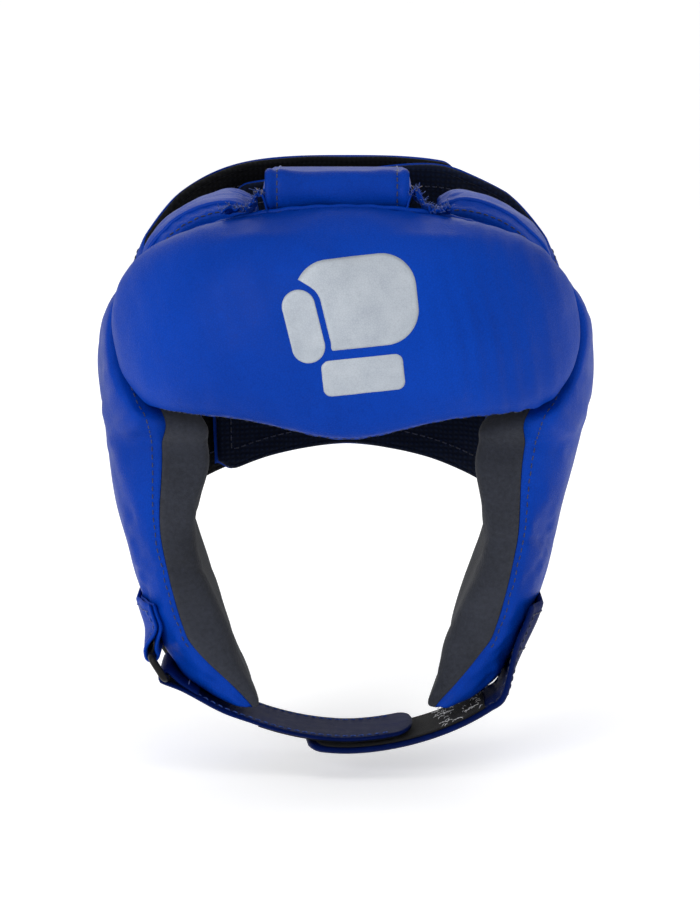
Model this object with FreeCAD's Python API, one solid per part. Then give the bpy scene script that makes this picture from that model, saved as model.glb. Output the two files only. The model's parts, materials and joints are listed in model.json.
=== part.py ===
"""Competition boxing headgear with an open face, as an assembly of separate pieces.

Frame: +Z up, the face looks along -Y, +X is the wearer's left side. The origin is the
middle of the head cavity at eye level. Every pad is a foam core between a leather cover
and a suede lining. Two rear wings, a crown strap and two chin straps move.
"""
import FreeCAD, Part
import math
import os

Vector = FreeCAD.Vector

# Driving dimensions of the whole headgear, in millimetres.
HALF_WIDTH = 102.0
FRONT_REACH = 126.0
BACK_REACH = 104.0
PLAN_POWER = 2.6
EQUATOR_Z = 60.0
CHEEK_BOTTOM_Z = -94.0
CROWN_TAPER_FRONT = 0.10
CROWN_TAPER_BACK = 0.30
LEATHER = 1.5
SUEDE = 1.2
GAP = 0.3
SEAM_GAP = 0.1

# Forehead pad.
FOREHEAD_THICK = 27.0
FOREHEAD_TOP_Z = 112.0
BROW_Z = 29.5
BROW_DIP = 7.5
BROW_DIP_HALF_WIDTH = 46.0
FOREHEAD_END_ANGLE = 56.0

# Side pads. The rise is the nominal height of each arched face over the edge seam.
SIDE_THICK = 24.0
SIDE_RISE = 12.0
SIDE_REAR_Y = 40.0
RIGHT_TUCK = 5.5
EAR_Y = 8.0
EAR_Z = 2.0
EAR_HALF_Y = 13.0
EAR_HALF_Z = 22.0

# Printed emblem on the forehead: a plain boxing glove of three separate shapes.
EMBLEM_Z = 71.0
EMBLEM_LIFT = -0.2
EMBLEM_FILM = 0.3
EMBLEM_GAP = 2.2
EMBLEM_FIST = (4.0, 8.0, 23.0, 17.0, 13.0, -6.0)
EMBLEM_THUMB = (-16.0, -1.0, 6.3, 14.0, 6.2, -14.0)
EMBLEM_CUFF = (6.5, -19.5, 15.5, 7.0, 3.0, -6.0)

# Crown lobes, roll, tongue and strap.
LOBE_CENTRE_X = 42.0
LOBE_CENTRE_Z = 64.0
LOBE_RADIUS = 48.0
LOBE_THICK = 20.0
LOBE_BOW = 1.5
LOBE_FRONT_Y = -44.0
LOBE_REAR_Y = 30.0
ROLL_X = -3.5
ROLL_Y = -80.8
ROLL_Z = 118.0
ROLL_HALF_WIDTH = 28.0
ROLL_HALF_DEPTH = 6.8
ROLL_HALF_HEIGHT = 8.0
TONGUE_HALF_WIDTH = 45.0
TONGUE_DEPTH = 17.0
TONGUE_THICK = 1.6
TONGUE_Z = 107.6
GUSSET_TOP_Z = 80.5
GUSSET_X = 84.5
CROWN_STRAP_HALF_WIDTH = 29.0
CROWN_STRAP_THICK = 2.2
CROWN_STRAP_LINE = [(-72.0, 119.5), (-48.0, 121.0), (-18.0, 121.4), (14.0, 120.8),
                    (44.0, 119.0), (64.0, 117.0), (74.9, 113.0), (76.6, 104.0), (75.0, 93.0)]
CROWN_HOOK_FIRST_POINT = 4
HOOK_THICK = 0.8
LOOP_THICK = 0.6

# Rear wings.
WING_ROOT_ANGLE = 115.0
WING_BACK_TOP_Z = 121.0
OUTER_WING_END_ANGLE = 214.0
INNER_WING_END_ANGLE = 216.0
INNER_WING_DROP = 9.0
INNER_WING_DEPTH = 6.3

# Chin straps.
STRAP_FRONT_Y = -59.0
STRAP_REAR_Y = -21.0
STRAP_CENTRE_Z = -66.0
STRAP_HALF_X = 80.0
STRAP_HALF_Z = 47.0
STRAP_POWER = 1.8
STRAP_THICK = 2.3
CHIN_HINGE_Z = -91.0
RING_WIRE = 1.5
RING_TOP = (-78.9, -72.0)
RING_BOTTOM = (-73.2, -81.2)
RING_HALF_LENGTH = 21.5
RING_CORNER = 3.0
SLEEVE_WALL = 1.7
BAR_CLEARANCE = 0.15
LEFT_STRAP_MID = 5.8
LEFT_STRAP_HALF_THICK = 1.1

# Jaw tabs.
TAB_TOP_Z = -51.0
TAB_BOTTOM_Z = -89.0
LEFT_TAB_STAND_OFF = 3.9


def smooth(t):
    """Ease from 0 to 1 as t goes from 0 to 1."""
    t = min(1.0, max(0.0, t))
    return t * t * (3.0 - 2.0 * t)


def mix(a, b, t):
    return a + (b - a) * t


# ---------------------------------------------------------------- head shape

def taper(z, amount):
    """Narrowing of the plan outline towards the crown."""
    return 1.0 - amount * (max(0.0, z - 55.0) / 60.0) ** 2


def half_width(z, crown_taper=CROWN_TAPER_FRONT):
    """Half the outer width at height z."""
    t = max(0.0, EQUATOR_Z - z) / 175.0
    return HALF_WIDTH * (1.0 - t ** 1.6) ** (1.0 / 3.5) * taper(z, crown_taper)


def front_reach(z):
    return (FRONT_REACH - 0.13 * max(0.0, EQUATOR_Z - z)) * taper(z, CROWN_TAPER_FRONT)


def back_reach(z):
    return BACK_REACH * taper(z, CROWN_TAPER_FRONT)


def around(angle, z, depth, crown_taper=CROWN_TAPER_FRONT):
    """Point at an angle from the front, depth millimetres inside the outer surface."""
    s = math.sin(math.radians(angle))
    c = math.cos(math.radians(angle))
    reach = front_reach(z) if c > 0 else back_reach(z)
    a = half_width(z, crown_taper) - depth
    b = reach - depth
    r = ((abs(s) / a) ** PLAN_POWER + (abs(c) / b) ** PLAN_POWER) ** (-1.0 / PLAN_POWER)
    return Vector(r * s, -r * c, z)


def side_x(y, z, depth):
    """Distance from the middle plane of the side surface at y and z."""
    reach = front_reach(z) if y < 0 else back_reach(z)
    t = min(0.999, abs(y) / (reach - depth))
    return (half_width(z) - depth) * (1.0 - t ** PLAN_POWER) ** (1.0 / PLAN_POWER)


# ---------------------------------------------------------------- solids

def clamped_knots(count, degree):
    spans = count - degree
    knots = [float(i) for i in range(spans + 1)]
    mults = [degree + 1] + [1] * (spans - 1) + [degree + 1]
    return knots, mults


def net_face(grid, degree_u=3, degree_v=3):
    knots_u, mults_u = clamped_knots(len(grid), degree_u)
    knots_v, mults_v = clamped_knots(len(grid[0]), degree_v)
    surface = Part.BSplineSurface()
    surface.buildFromPolesMultsKnots(grid, mults_u, mults_v, knots_u, knots_v,
                                     False, False, degree_u, degree_v)
    return surface.toShape()


def block(outer, inner):
    """Solid between two nets of one size; borders that coincide need no side face."""
    borders = [(outer[0], inner[0]), (outer[-1], inner[-1]),
               ([row[0] for row in outer], [row[0] for row in inner]),
               ([row[-1] for row in outer], [row[-1] for row in inner])]
    faces = [net_face(outer), net_face(inner)]
    for edge_a, edge_b in borders:
        if max(a.distanceToPoint(b) for a, b in zip(edge_a, edge_b)) > 1e-6:
            faces.append(net_face([edge_a, edge_b], 1, 3))
    shell = Part.makeShell(faces)
    shell.sewShape()
    solid = Part.makeSolid(shell)
    if solid.Volume < 0:
        solid.reverse()
    return solid


def rounded(t, power):
    """Position across (-1 to 1) and lift (0 to 1) on a superellipse arch."""
    across = -math.cos(math.pi * t)
    return across, max(0.0, 1.0 - abs(across) ** power) ** (1.0 / power)


def arched_net(place, rise, margin, sizes, powers, shift=0.0):
    """Net over a pad; rise is the height over the seam and shift moves the seam inward."""
    net = []
    for i in range(sizes[0]):
        across, lift_u = rounded(i / (sizes[0] - 1.0), powers[0])
        row = []
        for j in range(sizes[1]):
            along, lift_v = rounded(j / (sizes[1] - 1.0), powers[1])
            row.append(place(across, along, lift_u * lift_v, rise, margin, shift))
        net.append(row)
    return net


def pad_pieces(place, out_rise, in_rise, sizes, powers):
    """Cover, foam and lining of one pad, and the whole pad as an envelope."""
    def net(rise, margin, shift=0.0):
        return arched_net(place, rise, margin, sizes, powers, shift)

    inset = LEATHER + GAP
    cover = block(net(out_rise, 0.0, -SEAM_GAP), net(out_rise - LEATHER, LEATHER, -SEAM_GAP))
    foam = block(net(out_rise - inset, inset), net(-(in_rise - SUEDE - GAP), inset))
    lining = block(net(-in_rise, 0.0, SEAM_GAP), net(-(in_rise - SUEDE), SUEDE, SEAM_GAP))
    envelope = block(net(out_rise, 0.0), net(-in_rise, 0.0))
    return cover, foam, lining, envelope


def even_places(count):
    """Places from 0 to 1 for a cubic net's poles that give the surface an even pace."""
    spans = count - 3
    return [sum(min(spans, max(0, i + k - 3)) for k in (1, 2, 3)) / (3.0 * spans)
            for i in range(count)]


def sheet(place, depth_a, depth_b, sizes, margin=0.0):
    """Thin plate between two depths; place(u, v, depth, margin) has u and v from 0 to 1."""
    nets = []
    for depth in (depth_a, depth_b):
        nets.append([[place(u, v, depth, margin) for v in even_places(sizes[1])]
                     for u in even_places(sizes[0])])
    return block(nets[0], nets[1])


def mirrored(shape):
    return shape.mirror(Vector(0, 0, 0), Vector(1, 0, 0))


def tube_along_y(x, z, outer, inner, y_from, y_to):
    start = Vector(x, y_from, z)
    run = Vector(0, 1, 0)
    bar = Part.makeCylinder(outer, y_to - y_from, start, run)
    if inner <= 0:
        return bar
    return bar.cut(Part.makeCylinder(inner, y_to - y_from, start, run))


# ---------------------------------------------------------------- forehead

def forehead_top(angle):
    return FOREHEAD_TOP_Z - 27.0 * (abs(angle) / 60.0) ** 2.2


def forehead_bottom(angle, z_middle):
    x = abs(around(angle, z_middle, 0.0).x)
    t = min(1.0, x / BROW_DIP_HALF_WIDTH)
    return BROW_Z - BROW_DIP * 0.5 * (1.0 + math.cos(math.pi * t))


def forehead_end(z):
    return FOREHEAD_END_ANGLE - 0.009 * max(0.0, 68.0 - z) ** 2


def forehead_place(seam_depth):
    def place(across, along, lift, rise, margin, shift):
        guess = across * FOREHEAD_END_ANGLE
        low = forehead_bottom(guess, BROW_Z) + margin
        high = forehead_top(guess) - margin
        z = mix(low, high, 0.5 * (along + 1.0))
        angle = across * (forehead_end(z) - math.degrees(margin / 110.0))
        return around(angle, z, seam_depth + shift - rise * lift)
    return place


def make_forehead():
    out_rise = 14.0
    in_rise = FOREHEAD_THICK - out_rise
    sizes, powers = (19, 11), (9.0, 3.6)
    cover, foam, lining, _ = pad_pieces(forehead_place(out_rise), out_rise, in_rise,
                                        sizes, powers)
    inset = LEATHER + GAP

    def layer(rise, shift):
        place = forehead_place(out_rise)
        return block(arched_net(place, rise, inset, sizes, powers, shift),
                     arched_net(place, 0.0, inset, sizes, powers, shift))

    firm = layer(out_rise - inset - SEAM_GAP, -SEAM_GAP)
    soft = layer(-(in_rise - SUEDE - GAP - SEAM_GAP), SEAM_GAP)
    return {"forehead_cover": cover, "forehead_foam_firm": firm,
            "forehead_foam_soft": soft, "forehead_lining": lining}


def rounded_bar(x, z, half_x, half_z, radius, tilt=0.0, grow=0.0):
    """Bar along Y with a rounded rectangle section, centred at x and z of the emblem."""
    half_x, half_z, radius = half_x + grow, half_z + grow, radius + grow
    bar = Part.makeBox(2 * half_x, 90.0, 2 * half_z,
                       Vector(x - half_x, -150.0, EMBLEM_Z + z - half_z))
    uprights = [e for e in bar.Edges if abs(e.tangentAt(e.FirstParameter).y) > 0.9]
    bar = bar.makeFillet(radius, uprights)
    bar.rotate(Vector(x, -150.0, EMBLEM_Z + z), Vector(0, 1, 0), tilt)
    return bar


def make_emblem():
    """Printed glove: fist, thumb and cuff, cut out of a film that follows the forehead."""
    def film_place(u, v, depth, margin):
        z = mix(EMBLEM_Z - 34.0, EMBLEM_Z + 30.0, v)
        return around(mix(-24.0, 24.0, u), z, depth)

    film = sheet(film_place, EMBLEM_LIFT, EMBLEM_LIFT - EMBLEM_FILM, (12, 10))
    thumb = rounded_bar(*EMBLEM_THUMB)
    thumb_room = rounded_bar(*EMBLEM_THUMB, grow=EMBLEM_GAP)
    fist = rounded_bar(*EMBLEM_FIST)
    cuff = rounded_bar(*EMBLEM_CUFF)
    marks = [fist.cut(thumb_room), thumb, cuff.cut(thumb_room)]
    return {"forehead_emblem": Part.makeCompound([film.common(m).Solids[0] for m in marks])}


# ---------------------------------------------------------------- side pads

def side_thickness(z):
    """Thickness across X: fullest under the brow and at the jaw, thinner at the cheek."""
    brow = 10.0 * math.exp(-((z - 14.0) / 24.0) ** 2)
    jaw = 6.0 * smooth((-25.0 - z) / 45.0)
    return SIDE_THICK + brow + jaw


def side_seam_depth(z):
    """Depth of the seam between leather and suede on the front edge."""
    return 8.0 + 5.0 * smooth((z + 25.0) / 45.0) + 11.0 * smooth((-62.0 - z) / 32.0)


def tuck(hand, z):
    """The right-hand cheek of a soft headgear rests a little further in than the left."""
    share = smooth((45.0 - z) / 65.0) * (1.0 - 0.6 * smooth((-68.0 - z) / 20.0))
    return RIGHT_TUCK * share if hand > 0 else 0.0


def side_front(z, depth):
    """Front edge: along the forehead's end above the brow, an open edge below it."""
    seam = around(forehead_end(z) + 0.5, z, depth).y
    free = mix(-55.0, -72.0, smooth((z + 110.0) / 150.0))
    return mix(free, seam, smooth((z - 16.0) / 18.0))


def side_rear(z):
    return SIDE_REAR_Y - 55.0 * (max(0.0, -35.0 - z) / 65.0) ** 1.5


def side_top(across):
    t = 0.5 * (across + 1.0)
    return 84.0 - 15.0 * math.sin(0.5 * math.pi * min(1.0, t * 1.6)) + 6.0 * smooth((t - 0.6) / 0.4)


def side_place(hand):
    def place(across, along, lift, rise, margin, shift):
        low = CHEEK_BOTTOM_Z + margin
        high = side_top(across) - margin
        z = mix(low, high, 0.5 * (along + 1.0))
        seam = side_seam_depth(z)
        half = seam if rise > 0 else side_thickness(z) - seam
        skin = SIDE_RISE - abs(rise)
        depth = seam + shift - math.copysign(half - skin, rise) * lift
        y = mix(side_front(z, depth) + margin, side_rear(z) - margin, 0.5 * (across + 1.0))
        return Vector(hand * (side_x(y, z, depth) - tuck(hand, z)), y, z)
    return place


def ear_cylinder(hand, grow):
    """Elliptical bar along X through one side pad; hand is -1 or 1."""
    start = Vector(hand * 130, EAR_Y, EAR_Z)
    edge = Part.Ellipse(start, EAR_HALF_Z + grow, EAR_HALF_Y + grow).toShape()
    edge.rotate(start, Vector(0, 1, 0), 90)
    return Part.Face(Part.Wire(edge)).extrude(Vector(-hand * 90, 0, 0))


def make_side():
    pieces = {}
    for hand, label in ((-1, "left"), (1, "right")):
        cover, foam, lining, envelope = pad_pieces(side_place(hand), SIDE_RISE, SIDE_RISE,
                                                   (13, 17), (4.5, 3.5))
        hole = ear_cylinder(hand, 0.0)
        binding = hole.cut(ear_cylinder(hand, -LEATHER)).common(envelope)
        pieces["side_cover_" + label] = cover.cut(hole)
        pieces["side_foam_" + label] = foam.cut(hole)
        pieces["side_lining_" + label] = lining.cut(hole)
        pieces["ear_binding_" + label] = binding
    return pieces


def both_sides(pieces):
    result = {}
    for name, shape in pieces.items():
        result[name + "_left"] = shape
        result[name + "_right"] = mirrored(shape)
    return result


# ---------------------------------------------------------------- crown

def lobe_place(across, along, lift, rise, margin, shift):
    depth = 0.45 * LOBE_THICK + shift - rise * lift
    sweep = math.degrees(margin / LOBE_RADIUS)
    sweep += LOBE_BOW * across ** 2
    angle = math.radians(mix(160.0 - sweep, 84.0 + sweep, 0.5 * (along + 1.0)))
    y = mix(LOBE_FRONT_Y + margin, LOBE_REAR_Y - margin, 0.5 * (across + 1.0))
    radius = LOBE_RADIUS - depth
    return Vector(-LOBE_CENTRE_X + radius * math.cos(angle), y,
                  LOBE_CENTRE_Z + radius * math.sin(angle))


def lobe_gusset(u, v, depth, margin):
    """Thin web between the lobe's outer edge and the top of the side pad."""
    y = mix(LOBE_FRONT_Y + 6.0, LOBE_REAR_Y - 4.0, u)
    front = side_front(70.0, SIDE_RISE)
    across = 2.0 * (y - front) / (SIDE_REAR_Y - front) - 1.0
    z = mix(side_top(across) + 0.8, GUSSET_TOP_Z, v)
    return Vector(-GUSSET_X - v + depth, y, z)


def make_lobes():
    out_rise = 0.45 * LOBE_THICK
    cover, foam, lining, _ = pad_pieces(lobe_place, out_rise, LOBE_THICK - out_rise,
                                        (13, 11), (3.2, 3.2))
    gusset = sheet(lobe_gusset, 0.0, 1.4, (5, 4))
    pieces = {"crown_pad_cover": cover, "crown_pad_foam": foam,
              "crown_pad_lining": lining, "crown_pad_gusset": gusset}
    return both_sides(pieces)


def roll_section(grow):
    """Rounded section of the roll in the YZ plane, as a closed wire at its left end."""
    ellipse = Part.Ellipse(Vector(0, 0, 0), ROLL_HALF_HEIGHT + grow, ROLL_HALF_DEPTH + grow)
    edge = ellipse.toShape()
    edge.rotate(Vector(0, 0, 0), Vector(0, 1, 0), 90)
    edge.translate(Vector(ROLL_X - ROLL_HALF_WIDTH, ROLL_Y, ROLL_Z))
    return Part.Face(Part.Wire(edge))


def make_roll():
    run = Vector(2 * ROLL_HALF_WIDTH, 0, 0)
    outer = roll_section(0.0).extrude(run)
    cover = outer.cut(roll_section(-LEATHER).extrude(run))
    inner = roll_section(-LEATHER - 0.2).extrude(run)
    tongue = Part.makeBox(2 * TONGUE_HALF_WIDTH, TONGUE_DEPTH, TONGUE_THICK,
                          Vector(ROLL_X - TONGUE_HALF_WIDTH, ROLL_Y - 5.0, TONGUE_Z))
    return {"crown_roll_cover": cover, "crown_roll_core": inner, "crown_tongue": tongue}


def crown_strap_net(top_offset, inset_x, front, rear):
    """Net across X and along the strap's line, offset below its top surface."""
    line = CROWN_STRAP_LINE
    rows = []
    for k in spaced(-1.0, 1.0, 4):
        row = []
        for i in range(front, rear):
            before = line[max(0, i - 1)]
            after = line[min(len(line) - 1, i + 1)]
            dy, dz = after[0] - before[0], after[1] - before[1]
            size = math.hypot(dy, dz)
            row.append(Vector(ROLL_X + k * (CROWN_STRAP_HALF_WIDTH - inset_x),
                              line[i][0] + top_offset * dz / size,
                              line[i][1] - top_offset * dy / size))
        rows.append(row)
    return rows


def make_crown_strap():
    count = len(CROWN_STRAP_LINE)
    first = CROWN_HOOK_FIRST_POINT
    under = CROWN_STRAP_THICK + GAP
    strap = block(crown_strap_net(0.0, 0.0, 0, count),
                  crown_strap_net(CROWN_STRAP_THICK, 0.0, 0, count))
    patch = block(crown_strap_net(under, 4.0, first, count),
                  crown_strap_net(under + HOOK_THICK, 4.0, first, count))
    return {"crown_strap": strap, "crown_hook_patch": patch}


# ---------------------------------------------------------------- rear wings

def wing_top(angle):
    """Top edge: highest at the back, with its front corner rounded down to the root."""
    corner = 1.0 - smooth((angle - WING_ROOT_ANGLE) / 10.0)
    return WING_BACK_TOP_Z - 24.0 * (abs(180.0 - angle) / 67.0) ** 3 - 15.0 * corner


def wing_bottom(angle):
    return -8.0 - 34.0 * (abs(180.0 - angle) / 67.0) ** 1.6


def wing_place(hand, end_angle, drop, shift):
    """Point on a rear wing; u runs from the root round the back, v from bottom to top."""
    def place(u, v, depth, margin):
        step = math.degrees(margin / 100.0)
        angle = mix(WING_ROOT_ANGLE + step, end_angle - step, u)
        back = smooth((angle - 140.0) / 60.0)
        low = wing_bottom(angle) + margin
        high = wing_top(angle) - drop * back - margin
        z = mix(low, high, v)
        inward = shift * smooth((angle - WING_ROOT_ANGLE) / 26.0)
        return around(hand * angle, z, depth + inward, CROWN_TAPER_BACK)
    return place


def patch_place(place, u_from, u_to, v_from, v_to):
    def inner(u, v, depth, margin):
        return place(mix(u_from, u_to, u), mix(v_from, v_to, v), depth, 3.0)
    return inner


def make_wings():
    sizes = (31, 11)
    outer = wing_place(-1.0, OUTER_WING_END_ANGLE, 0.0, 0.0)
    inner = wing_place(1.0, INNER_WING_END_ANGLE, INNER_WING_DROP, INNER_WING_DEPTH)
    hooks = patch_place(outer, 0.46, 0.98, 0.10, 0.90)
    loops = patch_place(inner, 0.34, 0.98, 0.10, 0.90)
    return {
        "rear_wing_outer_leather": sheet(outer, 0.0, 1.4, sizes),
        "rear_wing_outer_foam": sheet(outer, 2.1, 3.3, sizes, 4.0),
        "rear_wing_outer_lining": sheet(outer, 3.75, 4.35, sizes, 1.0),
        "rear_wing_hook_patch": sheet(hooks, 5.0, 5.75, sizes),
        "rear_wing_loop_patch": sheet(loops, 0.0, 0.8, sizes),
        "rear_wing_inner_leather": sheet(inner, 1.1, 2.5, sizes),
        "rear_wing_inner_foam": sheet(inner, 3.2, 4.3, sizes, 4.0),
        "rear_wing_inner_lining": sheet(inner, 4.7, 5.5, sizes, 1.0),
    }


# ---------------------------------------------------------------- chin

def strap_angle_line(t, depth):
    """Point of the strap's line at parameter t: 0 right-hand root, 1 at the middle."""
    start = math.asin(((STRAP_CENTRE_Z - CHIN_HINGE_Z) / STRAP_HALF_Z) ** (STRAP_POWER / 2.0))
    angle = mix(start, 0.5 * math.pi, t)
    c = math.cos(angle)
    x = (STRAP_HALF_X - depth) * math.copysign(abs(c) ** (2.0 / STRAP_POWER), c)
    z = STRAP_CENTRE_Z - (STRAP_HALF_Z - depth) * abs(math.sin(angle)) ** (2.0 / STRAP_POWER)
    return (x, z)


def band(lines, inset_y):
    """Solid band across Y between two lines of (x, z) points."""
    nets = []
    for line in lines:
        nets.append([[Vector(x, y, z) for x, z in line]
                     for y in spaced(STRAP_FRONT_Y + inset_y, STRAP_REAR_Y - inset_y, 4)])
    return block(nets[0], nets[1])


def spaced(start, end, count):
    return [mix(start, end, i / (count - 1.0)) for i in range(count)]


def right_line(depth, t_from, t_to, count):
    return [strap_angle_line(t, depth) for t in spaced(t_from, t_to, count)]


def left_line(depth, t_to, count):
    """Line of the left strap, from the ring's lower bar to past the middle."""
    bar_x, bar_z = RING_BOTTOM
    off = depth - LEFT_STRAP_MID
    lead = [(bar_x + 1.9 + 0.66 * off, bar_z - 2.0 + 0.75 * off),
            (bar_x + 6.9 + 0.66 * off, bar_z - 5.6 + 0.75 * off),
            (bar_x + 12.0 + 0.60 * off, bar_z - 10.2 + 0.80 * off),
            (bar_x + 22.2 + 0.45 * off, bar_z - 16.4 + 0.89 * off)]
    rest = [strap_angle_line(t, depth) for t in spaced(0.42, t_to, count)]
    return lead + [(-x, z) for x, z in rest]


def with_sleeve(leather, bar):
    """Leather with the sleeve that a bar of the ring turns in."""
    room = RING_WIRE + BAR_CLEARANCE
    sleeve = tube_along_y(bar[0], bar[1], RING_WIRE + SLEEVE_WALL, room,
                          STRAP_FRONT_Y + 1.0, STRAP_REAR_Y - 1.0)
    bore = tube_along_y(bar[0], bar[1], room, 0, STRAP_FRONT_Y, STRAP_REAR_Y)
    return leather.fuse(sleeve).cut(bore)


def make_chin():
    outer_strap = band([right_line(0.0, 0.0, 1.25, 12), right_line(STRAP_THICK, 0.0, 1.25, 12)],
                       0.0)
    hook_top = STRAP_THICK + 0.15
    outer_hook = band([right_line(hook_top, 0.14, 1.23, 12),
                       right_line(hook_top + HOOK_THICK, 0.14, 1.23, 12)], 2.0)
    top = LEFT_STRAP_MID - LEFT_STRAP_HALF_THICK
    bottom = LEFT_STRAP_MID + LEFT_STRAP_HALF_THICK
    inner_band = band([left_line(top, 1.42, 10), left_line(bottom, 1.42, 10)], 1.0)
    inner_strap = with_sleeve(inner_band, RING_BOTTOM)
    loop_bottom = top - GAP
    loops = band([left_line(loop_bottom - LOOP_THICK, 1.40, 10)[5:],
                  left_line(loop_bottom, 1.40, 10)[5:]], 3.0)
    return {"chin_strap_outer": outer_strap, "chin_strap_hook_patch": outer_hook,
            "chin_strap_inner": inner_strap, "chin_strap_loop_patch": loops}


def make_ring():
    """Rectangular wire ring in its tilted plane, with rounded corners."""
    middle_y = 0.5 * (STRAP_FRONT_Y + STRAP_REAR_Y)
    top = Vector(RING_TOP[0], 0, RING_TOP[1])
    bottom = Vector(RING_BOTTOM[0], 0, RING_BOTTOM[1])
    down = (bottom - top).normalize()
    height = (bottom - top).Length
    y0, y1 = middle_y - RING_HALF_LENGTH, middle_y + RING_HALF_LENGTH

    def at(y, s):
        return top + Vector(0, y, 0) + down * s

    def corner_arc(y, s, inward_y, inward_s):
        k = RING_CORNER * (1.0 - math.sqrt(0.5))
        return Part.Arc(at(y + inward_y * RING_CORNER, s), at(y + inward_y * k, s + inward_s * k),
                        at(y, s + inward_s * RING_CORNER))

    arcs = [corner_arc(y0, 0, 1, 1), corner_arc(y0, height, 1, -1),
            corner_arc(y1, height, -1, -1), corner_arc(y1, 0, -1, 1)]
    near, far = RING_CORNER, height - RING_CORNER
    lines = [Part.LineSegment(at(y0, near), at(y0, far)),
             Part.LineSegment(at(y0 + near, height), at(y1 - near, height)),
             Part.LineSegment(at(y1, far), at(y1, near)),
             Part.LineSegment(at(y1 - near, 0), at(y0 + near, 0))]
    edges = [arcs[0].toShape(), lines[0].toShape(), arcs[1].toShape(), lines[1].toShape(),
             arcs[2].toShape(), lines[2].toShape(), arcs[3].toShape(), lines[3].toShape()]
    path = Part.Wire(Part.sortEdges(edges)[0])
    circle = Part.Circle(at(middle_y, 0), Vector(0, 1, 0), RING_WIRE).toShape()
    start_line = Part.Wire([Part.Wire([circle]).Edges[0]])
    ring = path.makePipeShell([start_line], True, True)
    return {"chin_ring": ring}


def tab_place(hand):
    def place(u, v, depth, margin):
        y = mix(STRAP_FRONT_Y, STRAP_REAR_Y, u)
        z = mix(TAB_TOP_Z, TAB_BOTTOM_Z, v)
        return Vector(hand * (side_x(y, z, depth) - tuck(hand, z)), y, z)
    return place


def make_tabs():
    """Leather tabs on the jaw: the right one carries a strap, the left one the ring."""
    right = sheet(tab_place(1.0), -2.9, -0.5, (6, 7))

    def left_place(u, v, depth, margin):
        y = mix(STRAP_FRONT_Y + 1.0, STRAP_REAR_Y - 1.0, u)
        z = mix(TAB_TOP_Z, RING_TOP[1] + 1.0, v)
        x = mix(side_x(y, z, -LEFT_TAB_STAND_OFF), -RING_TOP[0], v ** 3) - depth
        return Vector(-x, y, z)

    left = with_sleeve(sheet(left_place, -1.1, 1.1, (6, 8)), RING_TOP)
    return {"jaw_tab_right": right, "jaw_tab_left": left}


def main():
    os.makedirs("parts", exist_ok=True)
    pieces = {}
    for make in (make_forehead, make_emblem, make_side, make_lobes, make_roll,
                 make_crown_strap, make_wings, make_chin, make_ring, make_tabs):
        pieces.update(make())
    for name, shape in pieces.items():
        solids = shape.Solids
        print("%-26s solids %d valid %s volume %.0f" % (
            name, len(solids), shape.isValid(), sum(s.Volume for s in solids)))
        shape.exportStep("parts/%s.step" % name)


main()
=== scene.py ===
"""Looks of the boxing headgear: sewn leather pads, suede linings, straps and trims.

Lengths are in millimetres until a mesh is made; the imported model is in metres.
"""

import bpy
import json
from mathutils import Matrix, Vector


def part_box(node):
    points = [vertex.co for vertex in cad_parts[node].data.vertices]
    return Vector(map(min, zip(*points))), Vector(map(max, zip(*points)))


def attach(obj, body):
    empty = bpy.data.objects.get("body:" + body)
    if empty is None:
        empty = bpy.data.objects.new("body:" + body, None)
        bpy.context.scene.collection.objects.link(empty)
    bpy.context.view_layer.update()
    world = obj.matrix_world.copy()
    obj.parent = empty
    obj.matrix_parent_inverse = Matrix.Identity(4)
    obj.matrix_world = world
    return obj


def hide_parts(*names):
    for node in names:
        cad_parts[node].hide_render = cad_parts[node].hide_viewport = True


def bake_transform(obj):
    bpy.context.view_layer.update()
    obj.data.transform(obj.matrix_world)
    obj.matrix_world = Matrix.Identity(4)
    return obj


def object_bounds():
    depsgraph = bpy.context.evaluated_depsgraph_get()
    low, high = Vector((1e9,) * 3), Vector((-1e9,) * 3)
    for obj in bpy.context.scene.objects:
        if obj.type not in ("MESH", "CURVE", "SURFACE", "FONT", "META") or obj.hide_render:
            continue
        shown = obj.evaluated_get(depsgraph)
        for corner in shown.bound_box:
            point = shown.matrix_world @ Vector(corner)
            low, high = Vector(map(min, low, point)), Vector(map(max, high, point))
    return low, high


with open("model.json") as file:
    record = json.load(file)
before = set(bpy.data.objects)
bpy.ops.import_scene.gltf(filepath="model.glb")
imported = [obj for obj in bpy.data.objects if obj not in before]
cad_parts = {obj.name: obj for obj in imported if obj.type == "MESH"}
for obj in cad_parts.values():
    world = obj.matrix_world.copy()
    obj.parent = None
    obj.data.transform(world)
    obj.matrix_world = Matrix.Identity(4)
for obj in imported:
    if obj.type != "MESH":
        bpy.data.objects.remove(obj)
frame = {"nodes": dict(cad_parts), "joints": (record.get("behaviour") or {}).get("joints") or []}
CAD_BOX = [list(corner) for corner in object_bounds()]

import json
import math

import bpy
import numpy as np
from mathutils import Vector
from mathutils.bvhtree import BVHTree

MM = 0.001
rng = np.random.default_rng(7)


def node_box(name):
    """Lowest and highest corner of a CAD node, in millimetres."""
    low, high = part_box(name)
    return np.array(low) / MM, np.array(high) / MM


def joint_point(name):
    for joint in frame["joints"]:
        if joint["name"] == name:
            return np.array(joint["pos_m"]) / MM
    raise ValueError(name)


# ---------------------------------------------------------------- driving dimensions

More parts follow.
